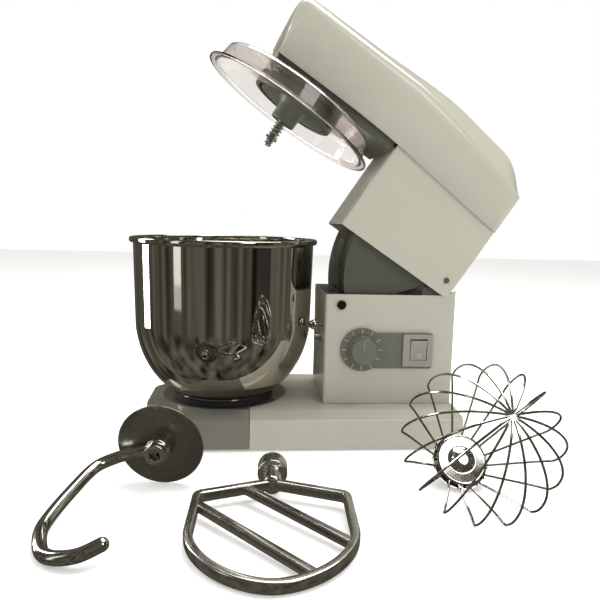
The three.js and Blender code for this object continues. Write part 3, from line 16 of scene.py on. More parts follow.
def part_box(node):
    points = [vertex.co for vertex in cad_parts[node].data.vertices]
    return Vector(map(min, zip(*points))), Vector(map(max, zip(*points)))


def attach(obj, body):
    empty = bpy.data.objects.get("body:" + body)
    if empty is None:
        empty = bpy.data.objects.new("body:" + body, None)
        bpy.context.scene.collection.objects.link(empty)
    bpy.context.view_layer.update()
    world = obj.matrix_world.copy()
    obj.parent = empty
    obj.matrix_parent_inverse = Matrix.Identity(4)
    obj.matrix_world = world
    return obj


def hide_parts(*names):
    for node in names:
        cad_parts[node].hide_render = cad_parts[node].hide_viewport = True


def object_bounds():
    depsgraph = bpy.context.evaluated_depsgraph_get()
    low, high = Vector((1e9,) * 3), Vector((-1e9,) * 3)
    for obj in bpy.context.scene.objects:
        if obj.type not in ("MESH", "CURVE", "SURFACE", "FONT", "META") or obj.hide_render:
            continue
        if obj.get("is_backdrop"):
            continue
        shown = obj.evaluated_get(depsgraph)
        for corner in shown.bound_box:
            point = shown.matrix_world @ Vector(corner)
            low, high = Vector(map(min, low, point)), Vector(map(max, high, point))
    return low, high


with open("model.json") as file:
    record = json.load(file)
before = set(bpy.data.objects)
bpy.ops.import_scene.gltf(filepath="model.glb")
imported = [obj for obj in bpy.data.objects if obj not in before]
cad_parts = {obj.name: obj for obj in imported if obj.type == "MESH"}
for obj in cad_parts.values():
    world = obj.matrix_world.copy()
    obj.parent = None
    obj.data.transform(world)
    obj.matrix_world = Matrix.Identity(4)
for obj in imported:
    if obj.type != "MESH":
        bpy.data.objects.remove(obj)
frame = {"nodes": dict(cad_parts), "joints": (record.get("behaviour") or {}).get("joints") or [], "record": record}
cad_low, cad_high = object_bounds()
scene = bpy.context.scene
print("CAD box in metres:", [round(b - a, 3) for a, b in zip(cad_low, cad_high)])

# %% [markdown]
# ## Where things are
# A node keeps its place in its corners, so the corners are what we measure. The head stands raised,
# turned about its hinge. Its pieces are easier to draw closed and level, so two small functions turn
# points up and down about the hinge that the record gives.

# %% Corners of a node, and the turn of the head
def corners_of(node):
    """The corners of a CAD node, each one once, as rows of x, y, z in metres."""
    mesh = frame["nodes"][node].data
    flat = np.empty(3 * len(mesh.vertices), np.float32)
    mesh.vertices.foreach_get("co", flat)
    return np.unique(flat.reshape(-1, 3).round(6), axis=0).astype(float)


def joint(name):
    """The record's entry for one joint."""
    return next(j for j in frame["joints"] if j["name"] == name)


HINGE = np.array(joint("head_tilt")["pos_m"], float)
TILT = -math.radians(joint("head_tilt")["range_deg"][0])


def turned_about_hinge(points, angle):
    """x' = hx + (x - hx) cos a + (z - hz) sin a and z' = hz - (x - hx) sin a + (z - hz) cos a."""
    away = points - HINGE
    cos, sin = math.cos(angle), math.sin(angle)
    x = away[..., 0] * cos + away[..., 2] * sin
    z = away[..., 2] * cos - away[..., 0] * sin
    return np.stack([x, away[..., 1], z], axis=-1) + HINGE


def raised(points):
    """Turns points drawn with the head closed up to the raised place: a turn by the tilt."""
    return turned_about_hinge(np.asarray(points, float), TILT)


def level_box(node):
    """Lowest and highest corner of a head node with the head closed and level."""
    level = turned_about_hinge(corners_of(node), -TILT)
    return level.min(axis=0), level.max(axis=0)


for node in ("head_shell", "splash_guard", "tool_shaft"):
    low, high = level_box(node)
    print(node, "closed, in mm:", (low * 1000).round(1), (high * 1000).round(1))

# %% [markdown]
# ## Camera
# The camera stands low in front of the bowl, a little above the rim, and looks slightly down. Its
# place and its three angles are named here, and its axes follow from the angles.

# %% Camera
CAMERA_PLACE = Vector((0.0304, -0.8143, 0.2747))
CAMERA_YAW, CAMERA_PITCH, CAMERA_ROLL = -0.0878, -0.1313, 0.0243
LENS_MM = 36.44

camera = bpy.data.objects.new("camera", bpy.data.cameras.new("camera"))
scene.collection.objects.link(camera)
scene.camera = camera
camera.data.lens = LENS_MM
camera.data.sensor_width = 36
turn = Matrix.Rotation(CAMERA_YAW, 4, "Z") @ Matrix.Rotation(math.pi / 2 + CAMERA_PITCH, 4, "X")
camera.matrix_world = Matrix.Translation(CAMERA_PLACE) @ turn @ Matrix.Rotation(CAMERA_ROLL, 4, "Z")
print("camera at", tuple(round(v, 3) for v in CAMERA_PLACE))

# %% [markdown]
# ## Finishes
# A finish is a node network: a little change of colour, a little change of gloss, and a relief too
# fine to model. Noise read in metres gives all three, so the pattern keeps its size on every piece.
# Numbers that are the same all over sit on the shader itself.

# %% Helpers for finishes
def new_finish(name, **sockets):
    """A material whose shader has the given socket values; returns it with its nodes and links."""
    material = bpy.data.materials.new(name)
    material.use_nodes = True
    tree = material.node_tree
    shader = tree.nodes["Principled BSDF"]
    for socket, value in sockets.items():
        shader.inputs[socket.replace("_", " ")].default_value = value
    return material, tree, shader


def noise(tree, scale, detail=3.0, stretch=(1, 1, 1), source="Object"):
    """Cloudy noise with a grain of about 1/scale metres, stretched along an axis where asked."""
    coordinates = tree.nodes.new("ShaderNodeTexCoord")
    mapping = tree.nodes.new("ShaderNodeMapping")
    mapping.inputs["Scale"].default_value = stretch
    cloud = tree.nodes.new("ShaderNodeTexNoise")
    cloud.inputs["Scale"].default_value = scale
    cloud.inputs["Detail"].default_value = detail
    tree.links.new(coordinates.outputs[source], mapping.inputs["Vector"])
    tree.links.new(mapping.outputs["Vector"], cloud.inputs["Vector"])
    return cloud.outputs["Fac"]


def spread(tree, fac, low, high, socket):
    """Sends a noise that runs from about 0.3 to 0.7 into a socket as a number from low to high."""
    span = tree.nodes.new("ShaderNodeMapRange")
    for name, value in (("From Min", 0.3), ("From Max", 0.7), ("To Min", low), ("To Max", high)):
        span.inputs[name].default_value = value
    tree.links.new(fac, span.inputs["Value"])
    tree.links.new(span.outputs["Result"], socket)


def tint(tree, fac, dark, light, socket):
    """Sends a colour between dark and light into a socket."""
    ramp = tree.nodes.new("ShaderNodeValToRGB")
    ramp.color_ramp.elements[0].position, ramp.color_ramp.elements[1].position = 0.3, 0.7
    ramp.color_ramp.elements[0].color = (*dark, 1)
    ramp.color_ramp.elements[1].color = (*light, 1)
    tree.links.new(fac, ramp.inputs["Fac"])
    tree.links.new(ramp.outputs["Color"], socket)


def relief(tree, shader, fac, strength, depth):
    """Lets a noise stand for height, so that it tips the normal of the shader."""
    bump = tree.nodes.new("ShaderNodeBump")
    bump.inputs["Strength"].default_value = strength
    bump.inputs["Distance"].default_value = depth
    tree.links.new(fac, bump.inputs["Height"])
    tree.links.new(bump.outputs["Normal"], shader.inputs["Normal"])


def paint(name, dark, light, gloss, coat, grain=700.0, strength=0.02):
    """Sprayed paint or moulded plastic: soft colour change, uneven gloss, fine relief, a clear coat."""
    material, tree, shader = new_finish(name, Coat_Weight=coat, Coat_Roughness=0.06)
    tint(tree, noise(tree, 14.0), dark, light, shader.inputs["Base Color"])
    spread(tree, noise(tree, 60.0), *gloss, shader.inputs["Roughness"])
    relief(tree, shader, noise(tree, grain, 2.0), strength, 0.0004)
    return material


def metal(name, dark, light, gloss, grain=90.0, stretch=(1, 1, 1), source="Object",
          strength=0.05, fine=900.0):
    """Bare metal: small change of tone, uneven gloss, and fine marks that may run one way."""
    material, tree, shader = new_finish(name, Metallic=1.0)
    tint(tree, noise(tree, grain, 4.0, stretch, source), dark, light, shader.inputs["Base Color"])
    spread(tree, noise(tree, grain / 3, 3.0, (1, 1, 1), source), *gloss, shader.inputs["Roughness"])
    relief(tree, shader, noise(tree, fine, 3.0, stretch, source), strength, 0.0003)
    return material


print("helpers for finishes are ready")

# %% [markdown]
# White paint here is a warm light grey, sprayed and glossy. The grey parts are moulded: glossy on
# the base, duller and much darker under the head; that extra darkness is painted shade, where the
# head shades them. The polished steels differ by how they were worked: the bowl is spun,
# so its marks run round it, while rods and wires are drawn, so theirs run along them.

# %% The finishes
SPUN = (1, 1, 30)
DRAWN = (0.04, 1, 1)
finishes = {
    "white_paint": paint("white_paint", (0.50, 0.49, 0.41), (0.515, 0.505, 0.425), (0.22, 0.27), 0.35),
    # grey_plastic is far darker than glossy_grey: the extra darkness is painted shade on the parts under the head.
    "grey_plastic": paint("grey_plastic", (0.080, 0.083, 0.063), (0.088, 0.091, 0.071), (0.36, 0.46),
                          0.15, 1500, 0.06),
    "glossy_grey": paint("glossy_grey", (0.20, 0.195, 0.16), (0.21, 0.205, 0.17), (0.16, 0.24), 0.6),
    "bezel_grey": paint("bezel_grey", (0.145, 0.147, 0.115), (0.155, 0.157, 0.125), (0.3, 0.42),
                        0.2, 1500, 0.05),
    "light_grey": paint("light_grey", (0.30, 0.295, 0.25), (0.32, 0.315, 0.27), (0.3, 0.4), 0.3, 1500, 0.05),
    "dark_plastic": paint("dark_plastic", (0.10, 0.10, 0.085), (0.12, 0.12, 0.10), (0.35, 0.5),
                          0.1, 1800, 0.08),
    "rubber": paint("rubber", (0.012, 0.012, 0.012), (0.03, 0.03, 0.028), (0.7, 0.9), 0.0, 900, 0.3),
    "black_screw": metal("black_screw", (0.06, 0.06, 0.05), (0.1, 0.1, 0.085), (0.22, 0.34), 400),
    "bowl_steel": metal("bowl_steel", (0.62, 0.59, 0.53), (0.66, 0.63, 0.57), (0.03, 0.07),
                        60, SPUN, "Object", 0.008),
    "polished_steel": metal("polished_steel", (0.60, 0.59, 0.55), (0.68, 0.67, 0.63), (0.08, 0.16),
                            400, DRAWN, "UV"),
    "disc_steel": metal("disc_steel", (0.36, 0.35, 0.31), (0.40, 0.39, 0.35), (0.24, 0.32),
                        200, (1, 0.05, 1), "UV", 0.02),
    "zinc_plate": metal("zinc_plate", (0.42, 0.42, 0.40), (0.55, 0.55, 0.52), (0.3, 0.45), 250),
    "aluminium": metal("aluminium", (0.60, 0.59, 0.55), (0.68, 0.67, 0.63), (0.14, 0.26), 160),
    "brass": metal("brass", (0.45, 0.33, 0.13), (0.56, 0.42, 0.18), (0.22, 0.36), 200),
}


def clear_sheet():
    """Clear moulded sheet with a faint warm tint, and a surface that is not quite even."""
    material, tree, shader = new_finish(
        "clear_plastic", Base_Color=(0.84, 0.79, 0.755, 1), Transmission_Weight=1.0, IOR=1.49)
    spread(tree, noise(tree, 40.0), 0.02, 0.07, shader.inputs["Roughness"])
    relief(tree, shader, noise(tree, 55.0, 2.0), 0.12, 0.0006)
    return material


def mark_white():
    """Printed or moulded marks in an off-white that is dull and a little uneven."""
    material, tree, shader = new_finish("mark_white")
    tint(tree, noise(tree, 800.0), (0.62, 0.61, 0.57), (0.72, 0.71, 0.67), shader.inputs["Base Color"])
    spread(tree, noise(tree, 300.0), 0.4, 0.6, shader.inputs["Roughness"])
    return material


finishes["clear_plastic"] = clear_sheet()
finishes["mark_white"] = mark_white()
print(len(finishes), "finishes")

# %% [markdown]
# ## Making surfaces
# Each new piece is one or more sheets, and a sheet is a grid of points: rows and columns of x, y, z.
# Neighbouring points make four-sided faces. Where a sheet closes on itself its first and last columns
# lie on each other, and welding them closes the seam. The same welding closes a pole. A map in
# metres along rows and columns goes with each sheet, so that drawn and spun marks can follow it.

# %% From grids of points to a piece
def grid_faces(rows, columns, first):
    """Four corners for each cell of a grid whose points are numbered from first, row after row."""
    number = first + np.arange(rows * columns).reshape(rows, columns)
    cells = [number[:-1, :-1], number[1:, :-1], number[1:, 1:], number[:-1, 1:]]
    return np.stack(cells, axis=-1).reshape(-1, 4)


def grain_map(sheet):
    """For each point, how far it lies along its row and across the rows, in metres."""
    down = np.linalg.norm(np.diff(sheet, axis=0), axis=2).mean(axis=1)
    across = np.linalg.norm(np.diff(sheet, axis=1), axis=2).mean(axis=0)
    places = [np.concatenate([[0], np.cumsum(steps)]) for steps in (down, across)]
    return np.stack(np.meshgrid(*places, indexing="ij"), axis=-1).reshape(-1, 2)


def piece(name, sheets, body, finish, stands_for=(), crease=35, wall=0):
    """Puts sheets into one mesh, welds it, turns its faces out and hangs it on a body of the frame."""
    points = np.concatenate([sheet.reshape(-1, 3) for sheet in sheets])
    starts = np.cumsum([0] + [sheet.shape[0] * sheet.shape[1] for sheet in sheets])
    faces = np.concatenate([grid_faces(*s.shape[:2], first) for s, first in zip(sheets, starts)])
    mesh = bpy.data.meshes.new(name)
    mesh.from_pydata(points.tolist(), [], faces.tolist())
    corner = np.empty(len(mesh.loops), np.int32)
    mesh.loops.foreach_get("vertex_index", corner)
    grain = np.concatenate([grain_map(sheet) for sheet in sheets])
    mesh.uv_layers.new(name="grain").data.foreach_set("uv", grain[corner].astype(np.float32).ravel())
    work = bmesh.new()
    work.from_mesh(mesh)
    bmesh.ops.remove_doubles(work, verts=work.verts, dist=2e-6)
    bmesh.ops.recalc_face_normals(work, faces=work.faces)
    work.to_mesh(mesh)
    work.free()
    made = hang(name, mesh, body, finish, stands_for, crease)
    if wall:
        solidify = made.modifiers.new("wall", "SOLIDIFY")
        solidify.thickness = wall
        solidify.offset = -1
    return made


def hang(name, mesh, body, finish, stands_for, crease):
    """Smooths a mesh up to the crease angle, gives it its finish and sets it to ride on a body."""
    mesh.shade_smooth()
    mesh.set_sharp_from_angle(angle=math.radians(crease))
    mesh.materials.append(finishes[finish])
    made = bpy.data.objects.new(name, mesh)
    scene.collection.objects.link(made)
    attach(made, body)
    if stands_for:
        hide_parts(*stands_for)
    print(f"{name}: {len(mesh.polygons)} faces, rides on {body}")
    return made


# %% [markdown]
# Turned parts are a profile carried round an axis, and bars are a ring carried along a path. A
# corner in a profile is rounded by a short curve that starts and ends a set reach from it.

# %% Profiles, turned sheets and bars
def eased(corners, reach, steps=7):
    """Rounds the inner corners of a line. Between s = C - reach u and e = C + reach v the curve is
    (1-t)^2 s + 2t(1-t) C + t^2 e, where u and v point along the line before and after the corner C.
    Corners may be stacked: any leading axes are kept."""
    corners = np.asarray(corners, float)
    legs = np.diff(corners, axis=-2)
    units = legs / np.linalg.norm(legs, axis=-1, keepdims=True)
    middle = corners[..., 1:-1, :]
    reach = np.broadcast_to(np.asarray(reach, float), middle.shape[:-1])[..., None]
    start, end = middle - reach * units[..., :-1, :], middle + reach * units[..., 1:, :]
    t = np.linspace(0, 1, steps)[:, None]
    s, c, e = (v[..., None, :] for v in (start, middle, end))
    curves = (1 - t) ** 2 * s + 2 * t * (1 - t) * c + t ** 2 * e
    curves = curves.reshape(*curves.shape[:-3], -1, curves.shape[-1])
    return np.concatenate([corners[..., :1, :], curves, corners[..., -1:, :]], axis=-2)


def spin(profile, columns=96):
    """Carries (radius, height) pairs round the Z axis: x = r cos a, y = r sin a, z = h."""
    angle = np.linspace(0, 2 * np.pi, columns + 1)
    radius, height = np.asarray(profile, float).T[:, :, None]
    return np.stack([radius * np.cos(angle), radius * np.sin(angle), height + 0 * angle], axis=-1)


def set_up(points, origin, axis, side):
    """Moves points from their own axes to a place: p' = o + x s + y (a x s) + z a."""
    axis = np.asarray(axis, float) / np.linalg.norm(axis)
    side = np.asarray(side, float) - np.dot(side, axis) * axis
    side = side / np.linalg.norm(side)
    return np.asarray(origin) + points @ np.stack([side, np.cross(axis, side), axis])


def through(points, steps=10):
    """A smooth line through points. Between p1 and p2 it is the Catmull-Rom cubic of p0, p1, p2, p3."""
    p = np.asarray(points, float)
    p = np.concatenate([[2 * p[0] - p[1]], p, [2 * p[-1] - p[-2]]])
    t = np.linspace(0, 1, steps, endpoint=False)[:, None, None]
    a, b, c, d = p[:-3], p[1:-2], p[2:-1], p[3:]
    line = 0.5 * (2 * b + (c - a) * t + (2 * a - 5 * b + 4 * c - d) * t ** 2
                  + (3 * b - a - 3 * c + d) * t ** 3)
    return np.concatenate([line.transpose(1, 0, 2).reshape(-1, p.shape[1]), [points[-1]]])


def bar(path, radius, across, sides=20, round_ends=True):
    """A ring of the given radius carried along a path: c + r (cos a n + sin a m), with n the part of
    across that stands square to the path and m square to both. The ends close in quarter circles."""
    path = np.asarray(path, float)
    radii = np.full(len(path), float(radius))
    if round_ends:
        t = np.linspace(0, np.pi / 2, 7)[1:]
        first, last = path[0] - path[1], path[-1] - path[-2]
        first, last = first / np.linalg.norm(first), last / np.linalg.norm(last)
        cap = radius * np.sin(t)[:, None]
        path = np.concatenate([(path[0] + cap * first)[::-1], path, path[-1] + cap * last])
        shrink = radius * np.cos(t)
        radii = np.concatenate([shrink[::-1], radii, shrink])
    ahead = np.gradient(path, axis=0)
    ahead /= np.linalg.norm(ahead, axis=1, keepdims=True)
    across = np.broadcast_to(np.asarray(across, float), path.shape)
    n = across - (across * ahead).sum(axis=1, keepdims=True) * ahead
    n /= np.linalg.norm(n, axis=1, keepdims=True)
    m = np.cross(ahead, n)
    angle = np.linspace(0, 2 * np.pi, sides + 1)[:, None]
    ring = np.cos(angle) * n[:, None] + np.sin(angle) * m[:, None]
    return path[:, None] + radii[:, None, None] * ring


print("a 10 mm rounded corner has", len(eased([(0, 0), (0, 1), (1, 1)], 0.1)), "points")

# %% [markdown]
# ## Softened copies of folded parts
# Folded sheet and moulded boxes already have their true shape. What a hard edge lacks is the narrow
# light line of a real one. A copy of the node is welded, its flat faces are joined up, and a small
# bevel goes on its sharp edges, then the copy is shown in place of the node.

# %% Softened copies
def softened(node, body, finish, width=0.0005, steps=2, crease=32):
    """A welded copy of a node with a bevel of the given width on edges sharper than the crease."""
    mesh = frame["nodes"][node].data.copy()
    mesh.name = node + "_softened"
    mesh.materials.clear()
    work = bmesh.new()
    work.from_mesh(mesh)
    bmesh.ops.remove_doubles(work, verts=work.verts, dist=2e-6)
    bmesh.ops.dissolve_limit(work, angle_limit=math.radians(0.6), verts=work.verts, edges=work.edges)
    work.to_mesh(mesh)
    work.free()
    made = hang(node + "_softened", mesh, body, finish, [node], crease)
    bevel = made.modifiers.new("edges", "BEVEL")
    bevel.width = width
    bevel.segments = steps
    bevel.limit_method = "ANGLE"
    bevel.angle_limit = math.radians(crease)
    bevel.harden_normals = True
    return made


for node in ("column_casing", "column_rear_panel"):
    softened(node, "base", "white_paint", 0.0004)
softened("leg_casing", "head", "white_paint", 0.0004)
softened("base_shell", "base", "white_paint", 0.001, 3)
softened("nose_cover", "base", "glossy_grey", 0.001, 3)
softened("control_bezel", "base", "bezel_grey", 0.0008, 3)
softened("switch_frame", "base", "light_grey", 0.0006, 3)
softened("switch_rocker", "rocker", "light_grey", 0.0008, 3)
softened("underpan", "head", "grey_plastic", 0.0008, 3)
softened("sector_drum", "head", "grey_plastic", 0.0004)
softened("sector_plate", "head", "zinc_plate", 0.0004)
for node in ("front_screw", "hinge_washer_left", "hinge_washer_right", "hinge_pin"):
    softened(node, "base", "zinc_plate", 0.0004)
for node in ("guard_bolt_left", "guard_bolt_right"):
    softened(node, "head", "zinc_plate", 0.0003)
softened("limit_pin", "base", "black_screw", 0.0004)
softened("column_top_cap", "base", "grey_plastic", 0.0003)

# %% [markdown]
# ## Head shell
# The real shell is one deep pressing: upright sides, a sloping crown and well-rounded ends. It is a
# section carried from front to rear. The section has a fold at each side and a ridge each side of the
# flat crown, and the height of each changes along the shell. The ends are closed by drawing the last
# section in to the middle of its lower edge, and a wall is added at the end.

# %% Head shell
shell_low, shell_high = level_box("head_shell")
SHELL_WALL = 0.0015
END_ROUND = 0.013
REAR_ROUND = 0.009


def smoothed(x, places, heights, width=0.014):
    """Straight lines through (place, height) pairs, averaged over a window to ease the corners."""
    window = np.linspace(-width, width, 15)
    return np.interp(x[:, None] + window, places, heights).mean(axis=1)


def shell_sheet():
    """Rows are sections. Row i lies at x_i with half width h_i, and its line runs up one side, over
    the fold, the ridge and the crown, and down the other. End rows shrink by 1 - sin, as a quarter
    circle asks, then close in steps on the middle of the lower edge."""
    front, rear = shell_low[0], shell_high[0] - 0.0012
    top, half = shell_high[2], shell_high[1]
    bend = np.linspace(0, np.pi / 2, 9)
    x = np.concatenate([front + END_ROUND * (1 - np.cos(bend)),
                        np.linspace(front + END_ROUND, rear - REAR_ROUND, 60)[1:-1],
                        rear - REAR_ROUND * (1 - np.cos(bend[::-1]))])
    inset = np.zeros(len(x))
    inset[:9] = END_ROUND * (1 - np.sin(bend))
    inset[-9:] = REAR_ROUND * (1 - np.sin(bend[::-1]))
    from_front = x - front
    length = rear - front
    crown_at = [0, 0.02, 0.12, 0.185, 0.215, 0.24, 0.28, 0.318, 0.329, 0.343, 0.354, 0.36, length]
    crown = [0.0075, 0.006, 0.004, 0.0005, 0, 0.0015, 0.007, 0.012, 0.0155, 0.025, 0.036, 0.046, 0.053]
    fold_at = [0, 0.18, 0.21, 0.237, 0.28, 0.316, 0.353, length]
    fold = [0.0205, 0.0205, 0.0245, 0.029, 0.0375, 0.0465, 0.054, 0.056]
    edge_at = [0, 0.135, 0.192, 0.354, length]
    edge = [0.0905, 0.0905, 0.093, 0.1085, 0.1085]
    crown_z = top - 0.0025 - smoothed(from_front, crown_at, crown, 0.005) - 0.9 * inset * (x < 0)
    fold_z = top - 0.002 - smoothed(from_front, fold_at, fold, 0.01)
    fold_z = np.minimum(fold_z, crown_z - 0.002) - 0.7 * inset * (x < 0)
    edge_z = top - 0.002 - smoothed(from_front, edge_at, edge, 0.03)
    h = half - inset
    ridge = 0.04 * h / half
    line = np.stack([
        np.stack([-h, edge_z], -1), np.stack([-h, fold_z], -1), np.stack([-ridge, crown_z], -1),
        np.stack([ridge, crown_z], -1), np.stack([h, fold_z], -1), np.stack([h, edge_z], -1)], axis=1)
    crisp = 1 - smoothed(from_front, [0, 0.16, 0.34, length], [0, 0, 0.7, 0.8], 0.01)
    line = eased(line, np.stack([0.009 * crisp, 0.014 * crisp, 0.014 * crisp, 0.009 * crisp], -1), 11)
    rows = np.concatenate([np.broadcast_to(x[:, None, None], (*line.shape[:2], 1)), line], axis=2)
    return closed_ends(rows, edge_z)


def closed_ends(rows, edge_z):
    """Adds rows that draw the first and the last section in on the middle of its lower edge."""
    shares = np.linspace(0, 1, 6)[:-1, None, None]
    caps = []
    for end, way in ((0, 1), (-1, -1)):
        middle = np.array([rows[end, 0, 0], 0, edge_z[end]])
        caps.append((middle + (rows[end] - middle) * shares)[::way])
    return np.concatenate([caps[0], rows, caps[1]])


def curled_nose(sheet):
    """The lower front edge curls under: x grows by 13 mm times the square of the share gone down."""
    down = np.clip((shell_low[2] + 0.018 + 0.011 - sheet[..., 2]) / 0.011, 0, 1)
    near = np.clip(1 - (sheet[..., 0] - shell_low[0]) / END_ROUND, 0, 1)
    sheet = sheet.copy()
    sheet[..., 0] += END_ROUND * down ** 2 * near
    return sheet


piece("head_shell_pressed", [raised(curled_nose(shell_sheet()))], "head", "white_paint",
      ["head_shell"], 40, SHELL_WALL)

# %% [markdown]
# ## Bowl
# A bowl is spun from one sheet, so it is one profile turned about the upright axis: a round belly,
# an almost straight wall and a rolled rim, outside and inside. A separate foot ring carries it.

# %% Bowl
bowl_low, bowl_high = (np.array(v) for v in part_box("bowl"))
BOWL_WALL = 0.0012
BOWL_WAIST = 0.140
BELLY_DEPTH = 0.100
WAIST_RADIUS = bowl_high[0] - 0.007
POLE_RADIUS = 0.045


def belly(inward, points=40):
    """r = p + (w - p) cos^k t and z = waist - d sin^k t, t from the waist down: a full round belly."""
    t = np.radians(np.linspace(0, 71, points))
    radius = POLE_RADIUS + (WAIST_RADIUS - POLE_RADIUS - inward) * np.cos(t) ** (2 / 1.8)
    return np.stack([radius, BOWL_WAIST - (BELLY_DEPTH - inward) * np.sin(t) ** (2 / 1.8)], axis=-1)


def bowl_profile():
    """Pole, belly and wall outside, the rolled rim, then wall, belly and pole inside."""
    rim, top = bowl_high[0], bowl_high[2]
    outside, inside = belly(0)[::-1], belly(BOWL_WALL)
    wall_top = rim - 0.005
    roll = eased([(wall_top, top - 0.012), (wall_top, top - 0.007), (rim, top - 0.007), (rim, top),
                  (wall_top - BOWL_WALL, top), (wall_top - BOWL_WALL, top - 0.012)],
                 [0.0015, 0.003, 0.003, 0.002], 9)
    outer_pole, inner_pole = [(0, outside[0, 1])], [(0, inside[-1, 1])]
    return np.concatenate([outer_pole, outside, roll, inside, inner_pole])


def ring_profile(outer, inner, low, high, reach):
    """A closed rectangle in radius and height with rounded corners."""
    middle = (outer + inner) / 2
    return eased([(middle, low), (outer, low), (outer, high), (inner, high), (inner, low), (middle, low)],
                 reach, 5)


foot_radius = 0.0636
foot_top = belly(0)[-1, 1] + 0.0006
foot_ring = ring_profile(foot_radius, foot_radius - BOWL_WALL, bowl_low[2], foot_top, 0.0004)
piece("bowl_spun", [spin(bowl_profile(), 160), spin(foot_ring, 128)],
      "bowl_body", "bowl_steel", ["bowl"], 30)
seat_low, seat_high = (np.array(v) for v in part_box("bowl_seat"))
seat = ring_profile(seat_high[0], 0.034, seat_low[2], seat_high[2], 0.001)
# The seat is a dark part and gets the near-black rubber finish. Beyond its own dark grey, that near-black is
# painted shade under the bowl's foot ring and a painted reflection of the dark bowl.
piece("bowl_seat_moulded", [spin(seat)], "base", "rubber", ["bowl_seat"])

# %% [markdown]
# ## Splash guard, gear housing and carrier
# These are turned shapes too, drawn closed about the upright axis of the bowl and then raised with
# the head. The guard is a thin clear sheet with a true thickness, so light bends at its rims.

# %% Guard, housing and carrier
guard_low, guard_high = level_box("splash_guard")
housing_low, housing_high = level_box("gear_housing")
carrier_low, carrier_high = level_box("planet_carrier")
FLANGE_WIDTH = 0.0094
GUARD_DEPTH = 0.0252


def guard_profile(sheet=0.002):
    """A hat: flat top, almost upright wall, wide flange and a short lip, outside then inside."""
    top, lip, edge = guard_high[2], guard_low[2], guard_high[1]
    wall, flange = edge - FLANGE_WIDTH, top - GUARD_DEPTH
    opening = housing_high[1] + 0.0005
    outside = [(opening, top), (wall - 0.004, top), (wall, flange), (edge, flange), (edge, lip)]
    inside = [(edge - sheet, lip), (edge - sheet, flange - sheet), (wall - sheet, flange - sheet),
              (wall - 0.004 - sheet, top - sheet), (opening, top - sheet)]
    return eased(outside + inside + [(opening, top)],
                 [0.005, 0.003, 0.0015, 0.0008, 0.0008, 0.0008, 0.003, 0.004, 0.0003], 7)


piece("splash_guard_moulded", [raised(spin(guard_profile(), 160))], "head", "clear_plastic",
      ["splash_guard"], 30)

housing_radius = housing_high[1]
carrier_radius = carrier_high[1]
HOUSING_BORE = 0.0065
RECESS_RADIUS = 0.0523
recess_roof = housing_low[2] + 0.0176
housing_profile = eased([
    (HOUSING_BORE, recess_roof), (RECESS_RADIUS, recess_roof), (RECESS_RADIUS, housing_low[2]),
    (housing_radius, housing_low[2]), (housing_radius, housing_high[2]), (HOUSING_BORE, housing_high[2]),
    (HOUSING_BORE, recess_roof)], [0.001, 0.001, 0.003, 0.001, 0.001])
piece("gear_housing_cast", [raised(spin(housing_profile))], "head", "grey_plastic",
      ["gear_housing"])

spindle_low, spindle_high = level_box("tool_shaft")
SPINDLE_Y = (spindle_low[1] + spindle_high[1]) / 2
BOSS_RADIUS = 0.017
BOSS_BORE = 0.0052
CARRIER_UNDERSIDE = carrier_high[2] - 0.006


def about_spindle(sheet):
    """Moves a sheet spun about Z to the axis of the tool shaft: y' = y + offset."""
    return sheet + np.array([0, SPINDLE_Y, 0])


plate_profile = eased([(0, CARRIER_UNDERSIDE), (carrier_radius, CARRIER_UNDERSIDE),
                       (carrier_radius, carrier_high[2]), (0, carrier_high[2])], [0.002, 0.0005])
boss_root = (BOSS_RADIUS + 0.006, CARRIER_UNDERSIDE + 0.001)
boss_outside = eased([(BOSS_BORE, carrier_low[2]), (BOSS_RADIUS - 0.001, carrier_low[2]),
                      (BOSS_RADIUS, CARRIER_UNDERSIDE - 0.006), boss_root], [0.0025, 0.004])
boss_inside = [boss_root, (BOSS_BORE, CARRIER_UNDERSIDE + 0.001), (BOSS_BORE, carrier_low[2])]
boss = about_spindle(spin(np.concatenate([boss_outside, boss_inside])))
piece("planet_carrier_cast", [raised(spin(plate_profile)), raised(boss)], "planetary", "grey_plastic",
      ["planet_carrier"])

# %% [markdown]
# ## Tool shaft and its spring
# The shaft hangs below the boss. It is turned steel with a chamfered tip and a groove, and a
# light spring sits on it above the drive pin. The spring is a bar carried along a helix.

# %% Tool shaft and spring
shaft_radius = (spindle_high[1] - spindle_low[1]) / 2
tip = spindle_low[2]
shaft_profile = eased([
    (0, tip), (shaft_radius - 0.0012, tip), (shaft_radius, tip + 0.0018), (shaft_radius, tip + 0.004),
    (shaft_radius - 0.0008, tip + 0.0044), (shaft_radius - 0.0008, tip + 0.0056),
    (shaft_radius, tip + 0.006),
    (shaft_radius, spindle_high[2]), (0, spindle_high[2])], 0.0002, 4)
piece("tool_shaft_turned", [raised(about_spindle(spin(shaft_profile, 64)))], "tool_spindle",
      "polished_steel", ["tool_shaft"])


def helix(radius, low, high, turns, steps=24):
    """x = r cos a, y = r sin a, and z rises evenly; also gives the outward direction at each point."""
    angle = np.linspace(0, 2 * np.pi * turns, turns * steps + 1)
    out = np.stack([np.cos(angle), np.sin(angle), 0 * angle], axis=-1)
    rise = np.linspace(low, high, len(angle))[:, None] * np.array([0, 0, 1])
    return radius * out + rise, out


spring_low, spring_high = level_box("shaft_spring")
WIRE = 0.0008
coil_radius = (spring_high[1] - spring_low[1]) / 2 - WIRE
coil, outward = helix(coil_radius, spring_low[2] + WIRE, spring_high[2] - WIRE, 4)
spring = bar(coil, WIRE, outward, 10, False)
piece("shaft_spring_coiled", [raised(about_spindle(spring))], "tool_spindle", "zinc_plate",
      ["shaft_spring"])
softened("drive_pin", "tool_spindle", "polished_steel", 0.0003)

# %% [markdown]
# ## Controls
# The speed knob is a turned cap whose side is fluted for grip, so its radius also depends on the
# angle. Round it the bezel carries a mark every thirty degrees, and the rocker has the usual line
# and ring for on and off. A fine line on the knob shows where it stands.

